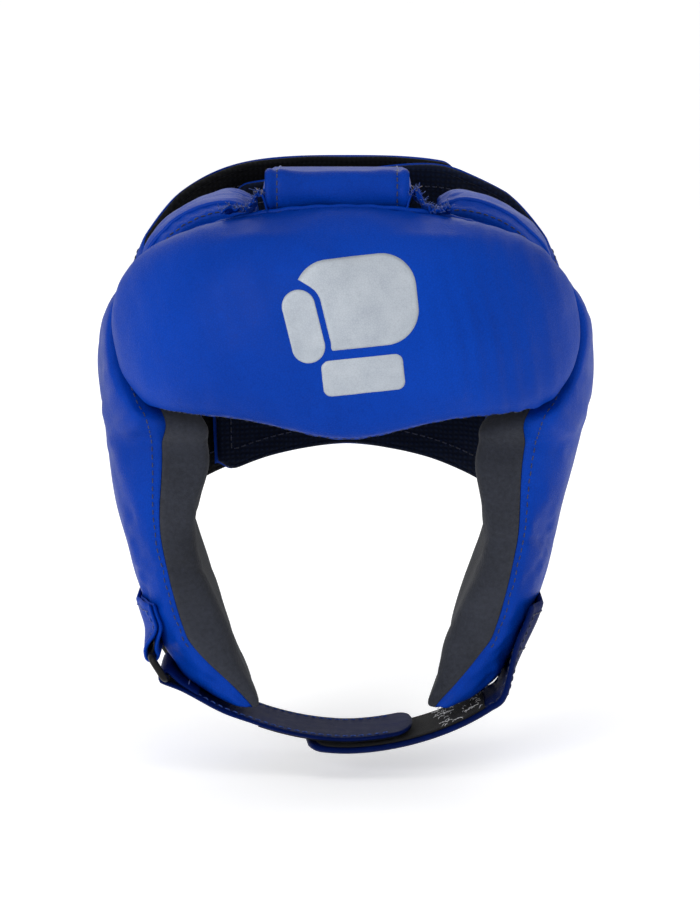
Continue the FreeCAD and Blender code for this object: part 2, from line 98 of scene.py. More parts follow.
FOREHEAD_TOP_Z = node_box("forehead_cover")[1][2]
CHEEK_BOTTOM_Z = node_box("side_cover_left")[0][2]
WING_TOP_Z = node_box("rear_wing_outer_leather")[1][2]
ROLL_LOW, ROLL_HIGH = node_box("crown_roll_cover")
LOBE_LOW, LOBE_HIGH = node_box("crown_pad_cover_left")
EAR_LOW, EAR_HIGH = node_box("ear_binding_left")
TAB_LOW, TAB_HIGH = node_box("jaw_tab_right")
RING_BAR = joint_point("inner_strap_swing")
RING_TOP = joint_point("chin_ring_tilt")
CHIN_HINGE = joint_point("outer_strap_swing")
CROWN_HINGE = joint_point("crown_strap_lift")

HALF_WIDTH = 102.0
FRONT_REACH = 126.0
BACK_REACH = 104.0
PLAN_POWER = 2.6
EQUATOR_Z = 60.0
FRONT_TAPER = 0.10
BACK_TAPER = 0.30
FOREHEAD_THICK = 27.0
BROW_Z = 29.5
BROW_LIFT = 3.2
BROW_DIP = 7.5
BROW_DIP_HALF_WIDTH = 66.0
BROW_SEAM_DEPTH = 14.0
SEAM_DEPTH_GAIN = 12.0
SEAM_GAP = 0.1
END_ANGLE = 56.0
SIDE_REAR_Y = 40.0
RIGHT_TUCK = 5.5
LEATHER = 1.5
SUEDE = 1.2
TAPE = 0.8
CROWN_STRAP_THICK = 2.2
WING_THICK = 1.4
OUTER_STRAP_THICK = 2.3
INNER_STRAP_THICK = 1.6
TAB_LAYER = 1.5
FOLD_RADIUS = 2.45
LOBE_RADIUS = 48.0
LOBE_CENTRE_X = 42.0
LOBE_CENTRE_Z = 64.0
LOBE_RISE = 9.0
LOBE_FALL = 11.0
LOBE_BOW = 1.5
WING_ROOT_ANGLE = 115.0
STRAP_FRONT_Y = TAB_LOW[1]
STRAP_REAR_Y = TAB_HIGH[1]


def smooth(t):
    t = np.clip(t, 0.0, 1.0)
    return t * t * (3.0 - 2.0 * t)


def mix(a, b, t):
    return a + (b - a) * t


def stack(x, y, z):
    return np.stack(np.broadcast_arrays(x, y, z), axis=-1).astype(float)


# ---------------------------------------------------------------- head shape

def taper(z, amount):
    return 1.0 - amount * (np.maximum(0.0, z - 55.0) / 60.0) ** 2


def half_width(z, amount=FRONT_TAPER):
    t = np.maximum(0.0, EQUATOR_Z - z) / 175.0
    return HALF_WIDTH * (1.0 - t ** 1.6) ** (1.0 / 3.5) * taper(z, amount)


def reach(z, forward):
    front = (FRONT_REACH - 0.13 * np.maximum(0.0, EQUATOR_Z - z)) * taper(z, FRONT_TAPER)
    return np.where(forward, front, BACK_REACH * taper(z, FRONT_TAPER))


def around(angle, z, depth, amount=FRONT_TAPER):
    """Points at an angle from the front, depth millimetres inside the outer surface."""
    s, c = np.sin(np.radians(angle)), np.cos(np.radians(angle))
    a = half_width(z, amount) - depth
    b = reach(z, c > 0) - depth
    r = ((np.abs(s) / a) ** PLAN_POWER + (np.abs(c) / b) ** PLAN_POWER) ** (-1.0 / PLAN_POWER)
    return stack(r * s, -r * c, z)


def side_x(y, z, depth):
    t = np.minimum(0.999, np.abs(y) / (reach(z, y < 0) - depth))
    return (half_width(z) - depth) * (1.0 - t ** PLAN_POWER) ** (1.0 / PLAN_POWER)


def tuck(hand, z):
    share = smooth((45.0 - z) / 65.0) * (1.0 - 0.6 * smooth((-68.0 - z) / 20.0))
    return RIGHT_TUCK * share if hand > 0 else 0.0 * share


# ---------------------------------------------------------------- grids and meshes

def arch(count, power, half_length, rise):
    """Across (-1 to 1) and lift (0 to 1) of an arch, spaced evenly along its outline."""
    across = -np.cos(np.linspace(0.0, math.pi, 2001))
    lift = np.maximum(0.0, 1.0 - np.abs(across) ** power) ** (1.0 / power)
    step = np.hypot(np.diff(across) * half_length, np.diff(lift) * rise)
    length = np.concatenate([[0.0], np.cumsum(step)])
    wanted = np.linspace(0.0, length[-1], count)
    across = np.interp(wanted, length, across)
    across[0], across[-1] = -1.0, 1.0
    lift = np.maximum(0.0, 1.0 - np.abs(across) ** power) ** (1.0 / power)
    return across, lift


def grid_normals(grid):
    """Unit normals of a grid of points, along du x dv."""
    du = np.gradient(grid, axis=0)
    dv = np.gradient(grid, axis=1)
    n = np.cross(du, dv)
    size = np.linalg.norm(n, axis=-1, keepdims=True)
    return n / np.maximum(size, 1e-9)


def arc_lengths(grid, axis):
    """Distance along a grid's lines from their start, in millimetres."""
    step = np.linalg.norm(np.diff(grid, axis=axis), axis=-1)
    zero = np.zeros_like(np.take(step, [0], axis=axis))
    return np.concatenate([zero, np.cumsum(step, axis=axis)], axis=axis)


def upsample(coarse, shape):
    """Smooth (Catmull-Rom) enlargement of a grid of vectors to a finer grid."""
    def along(values, count):
        n = values.shape[0]
        t = np.linspace(0.0, n - 1.0, count)
        i = np.minimum(t.astype(int), n - 2)
        f = (t - i)[:, None, None]
        a = values[np.maximum(i - 1, 0)]
        b = values[i]
        c = values[i + 1]
        d = values[np.minimum(i + 2, n - 1)]
        return 0.5 * (2 * b + (c - a) * f + (2 * a - 5 * b + 4 * c - d) * f ** 2
                      + (3 * b - a - 3 * c + d) * f ** 3)
    step = along(coarse, shape[0])
    return np.swapaxes(along(np.swapaxes(step, 0, 1), shape[1]), 0, 1)


def soft_noise(points, size, seed=0.0):
    """Smooth noise about zero (roughly -1 to 1) with features of the given size in mm."""
    p = np.asarray(points, float) / size + seed
    total = np.zeros(p.shape[:-1])
    directions = ((1.0, 0.37, 0.21), (-0.43, 1.0, 0.31), (0.27, -0.39, 1.0),
                  (0.77, 0.69, -0.51), (-0.61, 0.57, 0.83), (0.71, -0.83, 0.47))
    for k, d in enumerate(directions):
        q = p @ np.array(d) * (1.7 + 0.63 * k)
        total += np.sin(q + 2.1 * np.sin(p @ np.array(d[::-1]) * 1.3 + k))
    return total / 3.2


def make_object(name, verts, faces):
    """Mesh object from millimetre points and lists of vertex numbers."""
    mesh = bpy.data.meshes.new(name)
    mesh.from_pydata((np.asarray(verts, float) * MM).tolist(), [], faces)
    mesh.validate()
    mesh.update()
    obj = bpy.data.objects.new(name, mesh)
    bpy.context.scene.collection.objects.link(obj)
    mesh.polygons.foreach_set("use_smooth", [True] * len(mesh.polygons))
    return obj


PLATE_EDGE = 0.08


def grid_faces(rows, cols, start=0, wrap_u=False, wrap_v=False, flip=False):
    faces = []
    for i in range(rows if wrap_u else rows - 1):
        for j in range(cols if wrap_v else cols - 1):
            a = start + i * cols + j
            b = start + ((i + 1) % rows) * cols + j
            c = start + ((i + 1) % rows) * cols + (j + 1) % cols
            d = start + i * cols + (j + 1) % cols
            faces.append((a, d, c, b) if flip else (a, b, c, d))
    return faces


def border_numbers(rows, cols):
    """Vertex numbers round a grid's border, in order."""
    bottom = [i * cols for i in range(rows)]
    right = [(rows - 1) * cols + j for j in range(1, cols)]
    top = [i * cols + cols - 1 for i in range(rows - 2, -1, -1)]
    left = [j for j in range(cols - 2, 0, -1)]
    return bottom + right + top + left


def shell(name, outer, inner, flip=False):
    """Closed thin shell between two grids of one shape, joined round their border."""
    rows, cols = outer.shape[:2]
    count = rows * cols
    verts = np.concatenate([outer.reshape(-1, 3), inner.reshape(-1, 3)])
    faces = grid_faces(rows, cols, 0, flip=flip)
    faces += grid_faces(rows, cols, count, flip=not flip)
    ring = border_numbers(rows, cols)
    for k, a in enumerate(ring):
        b = ring[(k + 1) % len(ring)]
        quad = (a, a + count, b + count, b)
        faces.append(quad if not flip else quad[::-1])
    return make_object(name, verts, faces)


def plate(name, middle, thick, flip=False):
    """Closed plate of a given thickness about a grid, with rounded edges."""
    normal = grid_normals(middle)
    from_u = np.minimum(arc_lengths(middle, 0), arc_lengths(middle[::-1], 0)[::-1])
    from_v = np.minimum(arc_lengths(middle, 1), arc_lengths(middle[:, ::-1], 1)[:, ::-1])
    near = np.clip(np.minimum(from_u, from_v) / thick, 0.0, 1.0)
    lift = np.sqrt(np.maximum(0.0, 1.0 - (1.0 - near) ** 2))[..., None]
    offset = normal * (PLATE_EDGE + (0.5 * thick - PLATE_EDGE) * lift)
    return shell(name, middle + offset, middle - offset, flip)


def tube(name, path, radius, sides=10, closed=False, up=None):
    """Round tube along a path of points."""
    path = np.asarray(path, float)
    if closed:
        tangent = np.roll(path, -1, 0) - np.roll(path, 1, 0)
    else:
        tangent = np.gradient(path, axis=0)
    tangent /= np.maximum(np.linalg.norm(tangent, axis=1, keepdims=True), 1e-9)
    if up is None:
        side = np.cross(tangent, np.array([0.13, 0.21, 0.97]))
        short = np.linalg.norm(side, axis=1) < 0.2
        side[short] = np.cross(tangent[short], np.array([1.0, 0.1, 0.0]))
    else:
        side = np.cross(tangent, np.asarray(up, float))
    side /= np.maximum(np.linalg.norm(side, axis=1, keepdims=True), 1e-9)
    lift = np.cross(side, tangent)
    verts = []
    for k in range(sides):
        a = 2 * math.pi * k / sides
        verts.append(path + radius * (math.cos(a) * side + math.sin(a) * lift))
    verts = np.stack(verts, axis=1).reshape(-1, 3)
    faces = grid_faces(len(path), sides, wrap_u=closed, wrap_v=True)
    if not closed:
        last = (len(path) - 1) * sides
        faces.append(tuple(range(sides))[::-1])
        faces.append(tuple(last + k for k in range(sides)))
    return make_object(name, verts, faces)


def join(name, parts):
    """Joins mesh objects into one with a new name."""
    verts, faces, start = [], [], 0
    for part in parts:
        mesh = part.data
        co = np.zeros(len(mesh.vertices) * 3)
        mesh.vertices.foreach_get("co", co)
        verts.append(co.reshape(-1, 3) / MM)
        faces += [tuple(v + start for v in p.vertices) for p in mesh.polygons]
        start += len(mesh.vertices)
        bpy.data.objects.remove(part)
    return make_object(name, np.concatenate(verts), faces)


def stitches(path, normals, spacing=3.4, length=2.1, radius=0.28, sink=0.05):
    """Small thread loops along a path that lies on a surface."""
    path = np.asarray(path, float)
    step = np.linalg.norm(np.diff(path, axis=0), axis=1)
    along = np.concatenate([[0.0], np.cumsum(step)])
    made = []
    count = int(along[-1] / spacing)
    for k in range(count):
        s = (k + 0.5) * spacing
        line = []
        for f in np.linspace(-0.5, 0.5, 5):
            at = np.array([np.interp(s + f * length, along, path[:, i]) for i in range(3)])
            n = np.array([np.interp(s + f * length, along, normals[:, i]) for i in range(3)])
            n /= max(1e-9, np.linalg.norm(n))
            line.append(at + n * (radius * (1.0 - 4.4 * f * f) - sink))
        made.append(tube("thread", line, radius, sides=6))
    return made


# ---------------------------------------------------------------- materials

WEAVE_REPEAT = 1.1 * 0.00628


class Nodes:
    """Small helper that builds one procedural material."""

    def __init__(self, name):
        self.mat = bpy.data.materials.new(name)
        self.mat.use_nodes = True
        self.tree = self.mat.node_tree
        self.shader = self.tree.nodes["Principled BSDF"]
        self.coord = self.tree.nodes.new("ShaderNodeTexCoord").outputs["Object"]

    def node(self, kind, **inputs):
        made = self.tree.nodes.new(kind)
        for key, value in inputs.items():
            self.feed(made.inputs[key.replace("_", " ")], value)
        return made

    def feed(self, socket, value):
        if isinstance(value, bpy.types.NodeSocket):
            self.tree.links.new(value, socket)
        else:
            socket.default_value = value

    def stretched(self, scale, turn=(0.0, 0.0, 0.0)):
        made = self.node("ShaderNodeMapping", Vector=self.coord)
        made.inputs["Scale"].default_value = scale
        made.inputs["Rotation"].default_value = turn
        return made.outputs["Vector"]

    def noise(self, scale, detail=3.0, rough=0.5, vector=None, distortion=0.0):
        made = self.node("ShaderNodeTexNoise", Vector=vector or self.coord, Scale=scale,
                         Detail=detail, Roughness=rough, Distortion=distortion)
        return made.outputs["Fac"]

    def cells(self, scale):
        made = self.node("ShaderNodeTexVoronoi", Vector=self.coord, Scale=scale)
        made.feature = "DISTANCE_TO_EDGE"
        return made.outputs["Distance"]

    def ramp(self, value, stops):
        made = self.node("ShaderNodeValToRGB", Fac=value)
        points = made.color_ramp.elements
        while len(points) < len(stops):
            points.new(0.5)
        for point, (at, colour) in zip(points, stops):
            point.position = at
            point.color = (*colour, 1.0)
        return made.outputs["Color"]

    def grey(self, value, low, high, start=0.0, end=1.0):
        made = self.node("ShaderNodeMapRange", Value=value)
        made.inputs["From Min"].default_value = start
        made.inputs["From Max"].default_value = end
        made.inputs["To Min"].default_value = low
        made.inputs["To Max"].default_value = high
        return made.outputs["Result"]

    def math(self, kind, a, b):
        made = self.tree.nodes.new("ShaderNodeMath")
        made.operation = kind
        self.feed(made.inputs[0], a)
        self.feed(made.inputs[1], b)
        return made.outputs[0]

    def blend(self, share, a, b):
        made = self.tree.nodes.new("ShaderNodeMix")
        made.data_type = "RGBA"
        self.feed(made.inputs["Factor"], share)
        colours = [s for s in made.inputs if s.type == "RGBA"]
        self.feed(colours[0], a if isinstance(a, bpy.types.NodeSocket) else (*a, 1.0))
        self.feed(colours[1], b if isinstance(b, bpy.types.NodeSocket) else (*b, 1.0))
        return [s for s in made.outputs if s.type == "RGBA"][0]

    def bump(self, height, distance, strength=1.0, before=None):
        made = self.node("ShaderNodeBump", Height=height, Distance=distance, Strength=strength)
        if before is not None:
            self.feed(made.inputs["Normal"], before)
        return made.outputs["Normal"]

    def set(self, **values):
        for key, value in values.items():
            self.feed(self.shader.inputs[key.replace("_", " ")], value)
        return self.mat


def leather(name, deep, mid, light, rough=0.44, coat=0.02, crease=0.5):
    """Coloured leather: fine grain, soft creases, slight colour drift and worn highs."""
    n = Nodes(name)
    drift = n.noise(9.0, 3.0, 0.55)
    small = n.noise(160.0, 4.0, 0.6)
    colour = n.ramp(drift, [(0.30, deep), (0.52, mid), (0.78, light)])
    pores = n.cells(1050.0)
    grain_height = n.math("ADD", n.grey(pores, 0.0, 1.0, 0.0, 0.35),
                          n.math("MULTIPLY", n.noise(2600.0, 2.0), 0.45))
    shade = n.grey(pores, 0.80, 1.0, 0.0, 0.16)
    dark = n.node("ShaderNodeHueSaturation", Color=colour, Value=shade).outputs["Color"]
    wear = n.grey(small, 0.0, 0.30, 0.55, 0.85)
    worn = n.blend(wear, dark, light)
    lines = n.noise(42.0, 5.0, 0.62, n.stretched((1.0, 1.0, 0.35)), 0.6)
    fine = n.bump(grain_height, 0.00022, 0.40)
    creased = n.bump(lines, 0.0016, crease, fine)
    roughness = n.grey(n.math("ADD", small, n.math("MULTIPLY", drift, 0.6)),
                       rough - 0.07, rough + 0.10, 0.4, 1.2)
    n.set(Base_Color=worn, Roughness=roughness, Normal=creased)
    n.shader.inputs["Coat Weight"].default_value = coat
    n.shader.inputs["Coat Roughness"].default_value = 0.34
    n.shader.inputs["Specular IOR Level"].default_value = 0.045
    return n.mat


def nap(name, deep, light, size=700.0, sheen=0.35, rough=0.95, bump=0.0005):
    """Brushed or looped pile: suede, foam or tape."""
    n = Nodes(name)
    patches = n.noise(26.0, 4.0, 0.6)
    fuzz = n.noise(size, 3.0, 0.7)
    both = n.math("ADD", n.math("MULTIPLY", patches, 0.55), n.math("MULTIPLY", fuzz, 0.45))
    n.set(Base_Color=n.ramp(both, [(0.32, deep), (0.66, light)]), Roughness=rough,
          Normal=n.bump(n.math("ADD", fuzz, n.math("MULTIPLY", patches, 1.5)), bump, 0.8))
    n.shader.inputs["Sheen Weight"].default_value = sheen
    n.shader.inputs["Sheen Roughness"].default_value = 0.6
    n.shader.inputs["Specular IOR Level"].default_value = 0.25
    return n.mat


def woven(name, deep, light):
    """Close weave of fine threads, for the knitted linings."""
    n = Nodes(name)
    across, up = [n.node("ShaderNodeTexWave", Vector=n.coord, Scale=1.0 / WEAVE_REPEAT,
                         Distortion=1.5, Detail=1.0) for _ in range(2)]
    up.bands_direction = "Z"
    cloth = n.math("MULTIPLY", across.outputs["Fac"], up.outputs["Fac"])
    dust = n.noise(60.0, 4.0, 0.6)
    tone = n.math("ADD", n.math("MULTIPLY", cloth, 0.6), n.math("MULTIPLY", dust, 0.4))
    n.set(Base_Color=n.ramp(tone, [(0.15, deep), (0.75, light)]), Roughness=0.7,
          Normal=n.bump(cloth, 0.0003, 0.8))
    n.shader.inputs["Sheen Weight"].default_value = 0.03
    n.shader.inputs["Specular IOR Level"].default_value = 0.08
    return n.mat


def print_film():
    """Pale silver printing ink with the leather's grain showing through."""
    n = Nodes("silver_ink")
    cracks = n.cells(1050.0)
    patch = n.noise(70.0, 5.0, 0.65)
    colour = n.ramp(patch, [(0.25, (0.285, 0.320, 0.372)), (0.7, (0.395, 0.430, 0.475))])
    shade = n.grey(cracks, 0.86, 1.0, 0.0, 0.12)
    colour = n.node("ShaderNodeHueSaturation", Color=colour, Value=shade).outputs["Color"]
    n.set(Base_Color=colour, Roughness=n.grey(patch, 0.42, 0.6, 0.3, 0.7),
          Normal=n.bump(cracks, 0.0002, 0.35))
    n.shader.inputs["Metallic"].default_value = 0.15
    return n.mat


def painted_wire():
    """Black baked paint on steel wire, rubbed to metal in small spots."""
    n = Nodes("black_wire_paint")
    spots = n.noise(380.0, 5.0, 0.7)
    worn = n.grey(spots, 0.0, 1.0, 0.74, 0.80)
    n.set(Base_Color=n.blend(worn, (0.004, 0.004, 0.005), (0.10, 0.10, 0.11)),
          Metallic=n.grey(worn, 0.0, 0.9), Roughness=n.grey(spots, 0.26, 0.5, 0.3, 0.7),
          Normal=n.bump(n.noise(900.0, 2.0), 0.0001, 0.3))
    n.shader.inputs["Specular IOR Level"].default_value = 0.15
    return n.mat


def thread(name, deep, light):
    """Twisted polyester thread."""
    n = Nodes(name)
    twist = n.node("ShaderNodeTexWave", Vector=n.stretched((1, 1, 1), (0.6, 0.5, 0.3)),
                   Scale=240.0, Distortion=2.0).outputs["Fac"]
    n.set(Base_Color=n.ramp(twist, [(0.2, deep), (0.8, light)]), Roughness=0.6,
          Normal=n.bump(twist, 0.0001, 0.6))
    n.shader.inputs["Sheen Weight"].default_value = 0.2
    return n.mat


MATERIALS = {
    "blue_leather": leather("blue_leather", (0.0002, 0.0270, 0.245), (0.0003, 0.0360, 0.320),
                            (0.0008, 0.0480, 0.400), crease=0.30),
    "lobe_leather": leather("lobe_leather", (0.0003, 0.0290, 0.265), (0.0005, 0.0385, 0.340),
                            (0.0012, 0.0580, 0.450), rough=0.38, coat=0.05),
    "strap_leather": leather("strap_leather", (0.0003, 0.0045, 0.042), (0.0005, 0.0080, 0.080),
                             (0.0010, 0.0160, 0.155), rough=0.52, coat=0.0, crease=0.25),
    "wing_leather": leather("wing_leather", (0.0003, 0.0050, 0.050), (0.0005, 0.0080, 0.080),
                            (0.0010, 0.0160, 0.150), rough=0.52, coat=0.0, crease=0.3),
    "grey_suede": nap("grey_suede", (0.0085, 0.0100, 0.0155), (0.0250, 0.0285, 0.0410), 620.0, 0.08),
    "foam": nap("foam", (0.55, 0.52, 0.44), (0.74, 0.71, 0.63), 900.0, 0.1, 0.9, 0.0007),
    "black_lining": woven("black_lining", (0.0008, 0.0009, 0.0014), (0.0036, 0.0040, 0.0062)),
    "navy_lining": woven("navy_lining", (0.0006, 0.0024, 0.0110), (0.0016, 0.0064, 0.0260)),
    "hook_tape": nap("hook_tape", (0.0012, 0.0012, 0.0016), (0.0075, 0.0075, 0.0095), 1300.0,
                     0.02, 0.8, 0.0012),
    "loop_tape": nap("loop_tape", (0.0015, 0.0022, 0.0050), (0.0090, 0.0120, 0.0220), 950.0,
                     0.04, 0.95, 0.0012),
    "emblem_print": print_film(),
    "ring_metal": painted_wire(),
    "dark_thread": thread("dark_thread", (0.0008, 0.003, 0.018), (0.003, 0.011, 0.060)),
    "blue_thread": thread("blue_thread", (0.002, 0.022, 0.14), (0.008, 0.055, 0.30)),
    "tan_fibre": thread("tan_fibre", (0.16, 0.11, 0.06), (0.40, 0.32, 0.20)),
    "lint": thread("lint", (0.35, 0.35, 0.36), (0.70, 0.70, 0.72)),
}


def finish_piece(obj, material, body=None, replaces=()):
    obj.data.materials.clear()
    obj.data.materials.append(MATERIALS[material])
    if body is not None:
        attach(obj, body)
    if replaces:
        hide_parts(*replaces)
    return obj


# ---------------------------------------------------------------- pad shapes

def lifted(across, power):
    return np.maximum(0.0, 1.0 - np.abs(across) ** power) ** (1.0 / power)


def forehead_end(z):
    return END_ANGLE - 0.009 * np.maximum(0.0, 68.0 - z) ** 2


def forehead_surface(us, vs, face):
    """Forehead points; face is 1 for the leather side and -1 for the suede side."""
    across, along = us[:, None], vs[None, :]
    guess = across * END_ANGLE
    x = np.abs(around(guess, BROW_Z + 0.0 * guess, 0.0)[..., 0])
    dip = 0.5 * (1.0 + np.cos(math.pi * np.minimum(1.0, x / BROW_DIP_HALF_WIDTH)))
    low = BROW_Z + BROW_LIFT - BROW_DIP * dip
    high = FOREHEAD_TOP_Z - 27.0 * (np.abs(guess) / 60.0) ** 2.2
    z = mix(low, high, 0.5 * (along + 1.0))
    seam = BROW_SEAM_DEPTH + SEAM_DEPTH_GAIN * smooth(1.25 * along)
    rise = seam if face > 0 else seam - FOREHEAD_THICK
    lift = lifted(across, 9.0) * lifted(along, 3.6)
    return around(across * forehead_end(z), z, seam - SEAM_GAP * face - rise * lift)


def side_thickness(z):
    return 24.0 + 10.0 * np.exp(-((z - 14.0) / 24.0) ** 2) + 6.0 * smooth((-25.0 - z) / 45.0)


def side_seam_depth(z):
    return 8.0 + 5.0 * smooth((z + 25.0) / 45.0) + 11.0 * smooth((-62.0 - z) / 32.0)


def side_front(z, depth):
    seam = around(forehead_end(z) + 0.5, z, depth)[..., 1]
    free = mix(-55.0, -72.0, smooth((z + 110.0) / 150.0))
    return mix(free, seam, smooth((z - 16.0) / 18.0))


def side_rear(z):
    return SIDE_REAR_Y - 55.0 * (np.maximum(0.0, -35.0 - z) / 65.0) ** 1.5


def side_top(across):
    t = 0.5 * (across + 1.0)
    return 84.0 - 15.0 * np.sin(0.5 * math.pi * np.minimum(1.0, t * 1.6)) \
        + 6.0 * smooth((t - 0.6) / 0.4)


def side_surface(hand):
    def surface(us, vs, face):
        across, along = us[:, None], vs[None, :]
        z = mix(CHEEK_BOTTOM_Z, side_top(across), 0.5 * (along + 1.0))
        upper = smooth((z - 16.0) / 18.0) * (across < 0)
        lift = lifted(across, mix(4.5, 12.0, upper)) * lifted(along, 3.5)
        seam = side_seam_depth(z)
        half = seam if face > 0 else seam - side_thickness(z)
        depth = seam - SEAM_GAP * face - half * lift
        y = mix(side_front(z, depth), side_rear(z), 0.5 * (across + 1.0))
        return stack(hand * (side_x(y, z, depth) - tuck(hand, z)), y, z)
    return surface


def lobe_surface(hand):
    def surface(us, vs, face):
        across, along = us[:, None], vs[None, :]
        lift = lifted(across, 3.2) * lifted(along, 3.2)
        rise = LOBE_RISE if face > 0 else -LOBE_FALL
        bow = LOBE_BOW * across ** 2
        angle = np.radians(mix(160.0 - bow, 84.0 + bow, 0.5 * (along + 1.0)))
        radius = LOBE_RADIUS - (LOBE_RISE - SEAM_GAP * face - rise * lift)
        y = mix(LOBE_LOW[1], LOBE_HIGH[1], 0.5 * (across + 1.0))
        x = radius * np.cos(angle) - LOBE_CENTRE_X
        return stack(-hand * x, y, LOBE_CENTRE_Z + radius * np.sin(angle))
    return surface


EAR_CENTRE = 0.5 * (EAR_LOW + EAR_HIGH)[1:]
EAR_HALF = 0.5 * (EAR_HIGH - EAR_LOW)[1:]


def ear_radius(points):
    """Share of the ear hole's radius: 1 on its edge, less inside."""
    return np.hypot((points[..., 1] - EAR_CENTRE[0]) / EAR_HALF[0],
                    (points[..., 2] - EAR_CENTRE[1]) / EAR_HALF[1])


class Pad:
    """One stuffed pad: its surface, its grid and what the simulation adds to it."""

    def __init__(self, surface, half_u, half_v, rise, powers, flip, hole=False):
        self.surface, self.flip, self.hole = surface, flip, hole
        self.lengths = (half_u, half_v, rise, powers)
        self.us, self.vs = self.lines(1.45)
        self.coarse_us, self.coarse_vs = self.lines(5.0)
        self.shift = {1: 0.0, -1: 0.0}

    def lines(self, step):
        half_u, half_v, rise, powers = self.lengths
        count_u = int((2 * half_u + 1.2 * rise) / step)
        count_v = int((2 * half_v + 1.2 * rise) / step)
        return (arch(count_u, powers[0], half_u, rise)[0],
                arch(count_v, powers[1], half_v, rise)[0])

    def coarse(self, face):
        return self.surface(self.coarse_us, self.coarse_vs, face)

    def fine(self, face):
        return self.surface(self.us, self.vs, face) + self.shift[face]


PADS = {"forehead": Pad(forehead_surface, 112.0, 42.0, 14.0, (9.0, 3.6), False)}
for side_hand, side_name in ((-1, "left"), (1, "right")):
    PADS["side_" + side_name] = Pad(side_surface(side_hand), 56.0, 84.0, 12.0, (4.5, 3.5),
                                    side_hand < 0, True)
for side_hand, side_name in ((-1, "left"), (1, "right")):
    PADS["lobe_" + side_name] = Pad(lobe_surface(side_hand), 37.0, 32.0, 9.0, (3.2, 3.2),
                                    side_hand < 0)


MOST_SWELL = 1.5
LAST_FRAME = 20
CALM_BELOW_Z = 32.0
CALM_FADE = 18.0
LINING_SWELL = 0.4


def swell_pads():
    """Inflates all the pads together as cloth held at its seams, and keeps the movement."""
    verts, faces, held, spans = [], [], [], []
    for pad in PADS.values():
        outer, inner = pad.coarse(1), pad.coarse(-1)
        rows, cols = outer.shape[:2]
        start = sum(len(v) for v in verts)
        number = start + np.arange(rows * cols).reshape(rows, cols)
        twin = number + rows * cols
        edge = np.ones((rows, cols), bool)
        edge[1:-1, 1:-1] = False
        twin = np.where(edge, number, twin)
        verts.append(np.concatenate([outer.reshape(-1, 3), inner.reshape(-1, 3)]))
        for table, turned in ((number, pad.flip), (twin, not pad.flip)):
            quads = np.stack([table[:-1, :-1], table[1:, :-1], table[1:, 1:], table[:-1, 1:]],
                             axis=-1).reshape(-1, 4)
            faces += [tuple(int(k) for k in (q[::-1] if turned else q)) for q in quads]
        fixed = edge.copy()
        if pad.hole:
            fixed |= ear_radius(outer) < 1.18
        held += number[fixed].tolist() + twin[fixed].tolist()
        spans.append((start, rows, cols))
    rest = np.concatenate(verts)
    obj = make_object("pad_cloth", rest, faces)
    group = obj.vertex_groups.new(name="held")
    group.add(sorted(set(held)), 1.0, "REPLACE")
    cloth = obj.modifiers.new("cloth", "CLOTH")
    settings = cloth.settings
    settings.quality = 6
    settings.mass = 0.25
    settings.tension_stiffness = settings.compression_stiffness = 12.0
    settings.shear_stiffness = 6.0
    settings.bending_stiffness = 0.4
    settings.use_pressure = True
    settings.uniform_pressure_force = 4.0
    settings.shrink_min = -0.022
    settings.vertex_group_mass = "held"
    settings.effector_weights.gravity = 0.0
    cloth.collision_settings.use_collision = False
    scene = bpy.context.scene
    cloth.point_cache.frame_start, cloth.point_cache.frame_end = 1, LAST_FRAME
    for step in range(1, LAST_FRAME + 1):
        scene.frame_set(step)
    result = obj.evaluated_get(bpy.context.evaluated_depsgraph_get()).data
    moved = np.zeros(len(result.vertices) * 3)
    result.vertices.foreach_get("co", moved)
    moved = moved.reshape(-1, 3) / MM - rest
    size = np.linalg.norm(moved, axis=1, keepdims=True)
    moved *= MOST_SWELL * np.tanh(size / MOST_SWELL) / np.maximum(size, 1e-9)
    scene.frame_set(1)
    for pad, (start, rows, cols) in zip(PADS.values(), spans):
        half = rows * cols
        shape = (len(pad.us), len(pad.vs))
        for face, first in ((1, start), (-1, start + half)):
            shift = moved[first:first + half].reshape(rows, cols, 3).copy()
            shift[0], shift[-1], shift[:, 0], shift[:, -1] = 0.0, 0.0, 0.0, 0.0
            if pad is PADS["forehead"]:
                shift *= smooth((pad.coarse(face)[..., 2:] - CALM_BELOW_Z) / CALM_FADE)
            pad.shift[face] = upsample(shift * (1.0 if face > 0 else LINING_SWELL), shape)
    mesh = obj.data
    bpy.data.objects.remove(obj)
    bpy.data.meshes.remove(mesh)


swell_pads()


# ---------------------------------------------------------------- sewn pads

def gaussian(value, width):
    return np.exp(-(value / width) ** 2)


def edge_distance(grid):
    """Distances from the nearest end along u and along v, and the way along each."""
    along_u, along_v = arc_lengths(grid, 0), arc_lengths(grid, 1)
    from_u = np.minimum(along_u, along_u[-1:] - along_u)
    from_v = np.minimum(along_v, along_v[:, -1:] - along_v)
    return from_u, from_v, along_u, along_v


def puckers(distance, along, length, seed, reach_in=9.0, depth=0.55):
    """Little gathers that run in from a seam and fade out."""
    phase = 1.7 * np.sin(along / 23.0 + seed) + 1.1 * np.sin(along / 11.0 + 2.3 * seed)
    strength = 0.55 + 0.45 * np.sin(along / 31.0 + 1.9 * seed)
    wave = np.sin(2 * math.pi * along / length + phase)
    return depth * strength * wave * smooth((distance - 0.6) / 2.5) * gaussian(distance, reach_in)


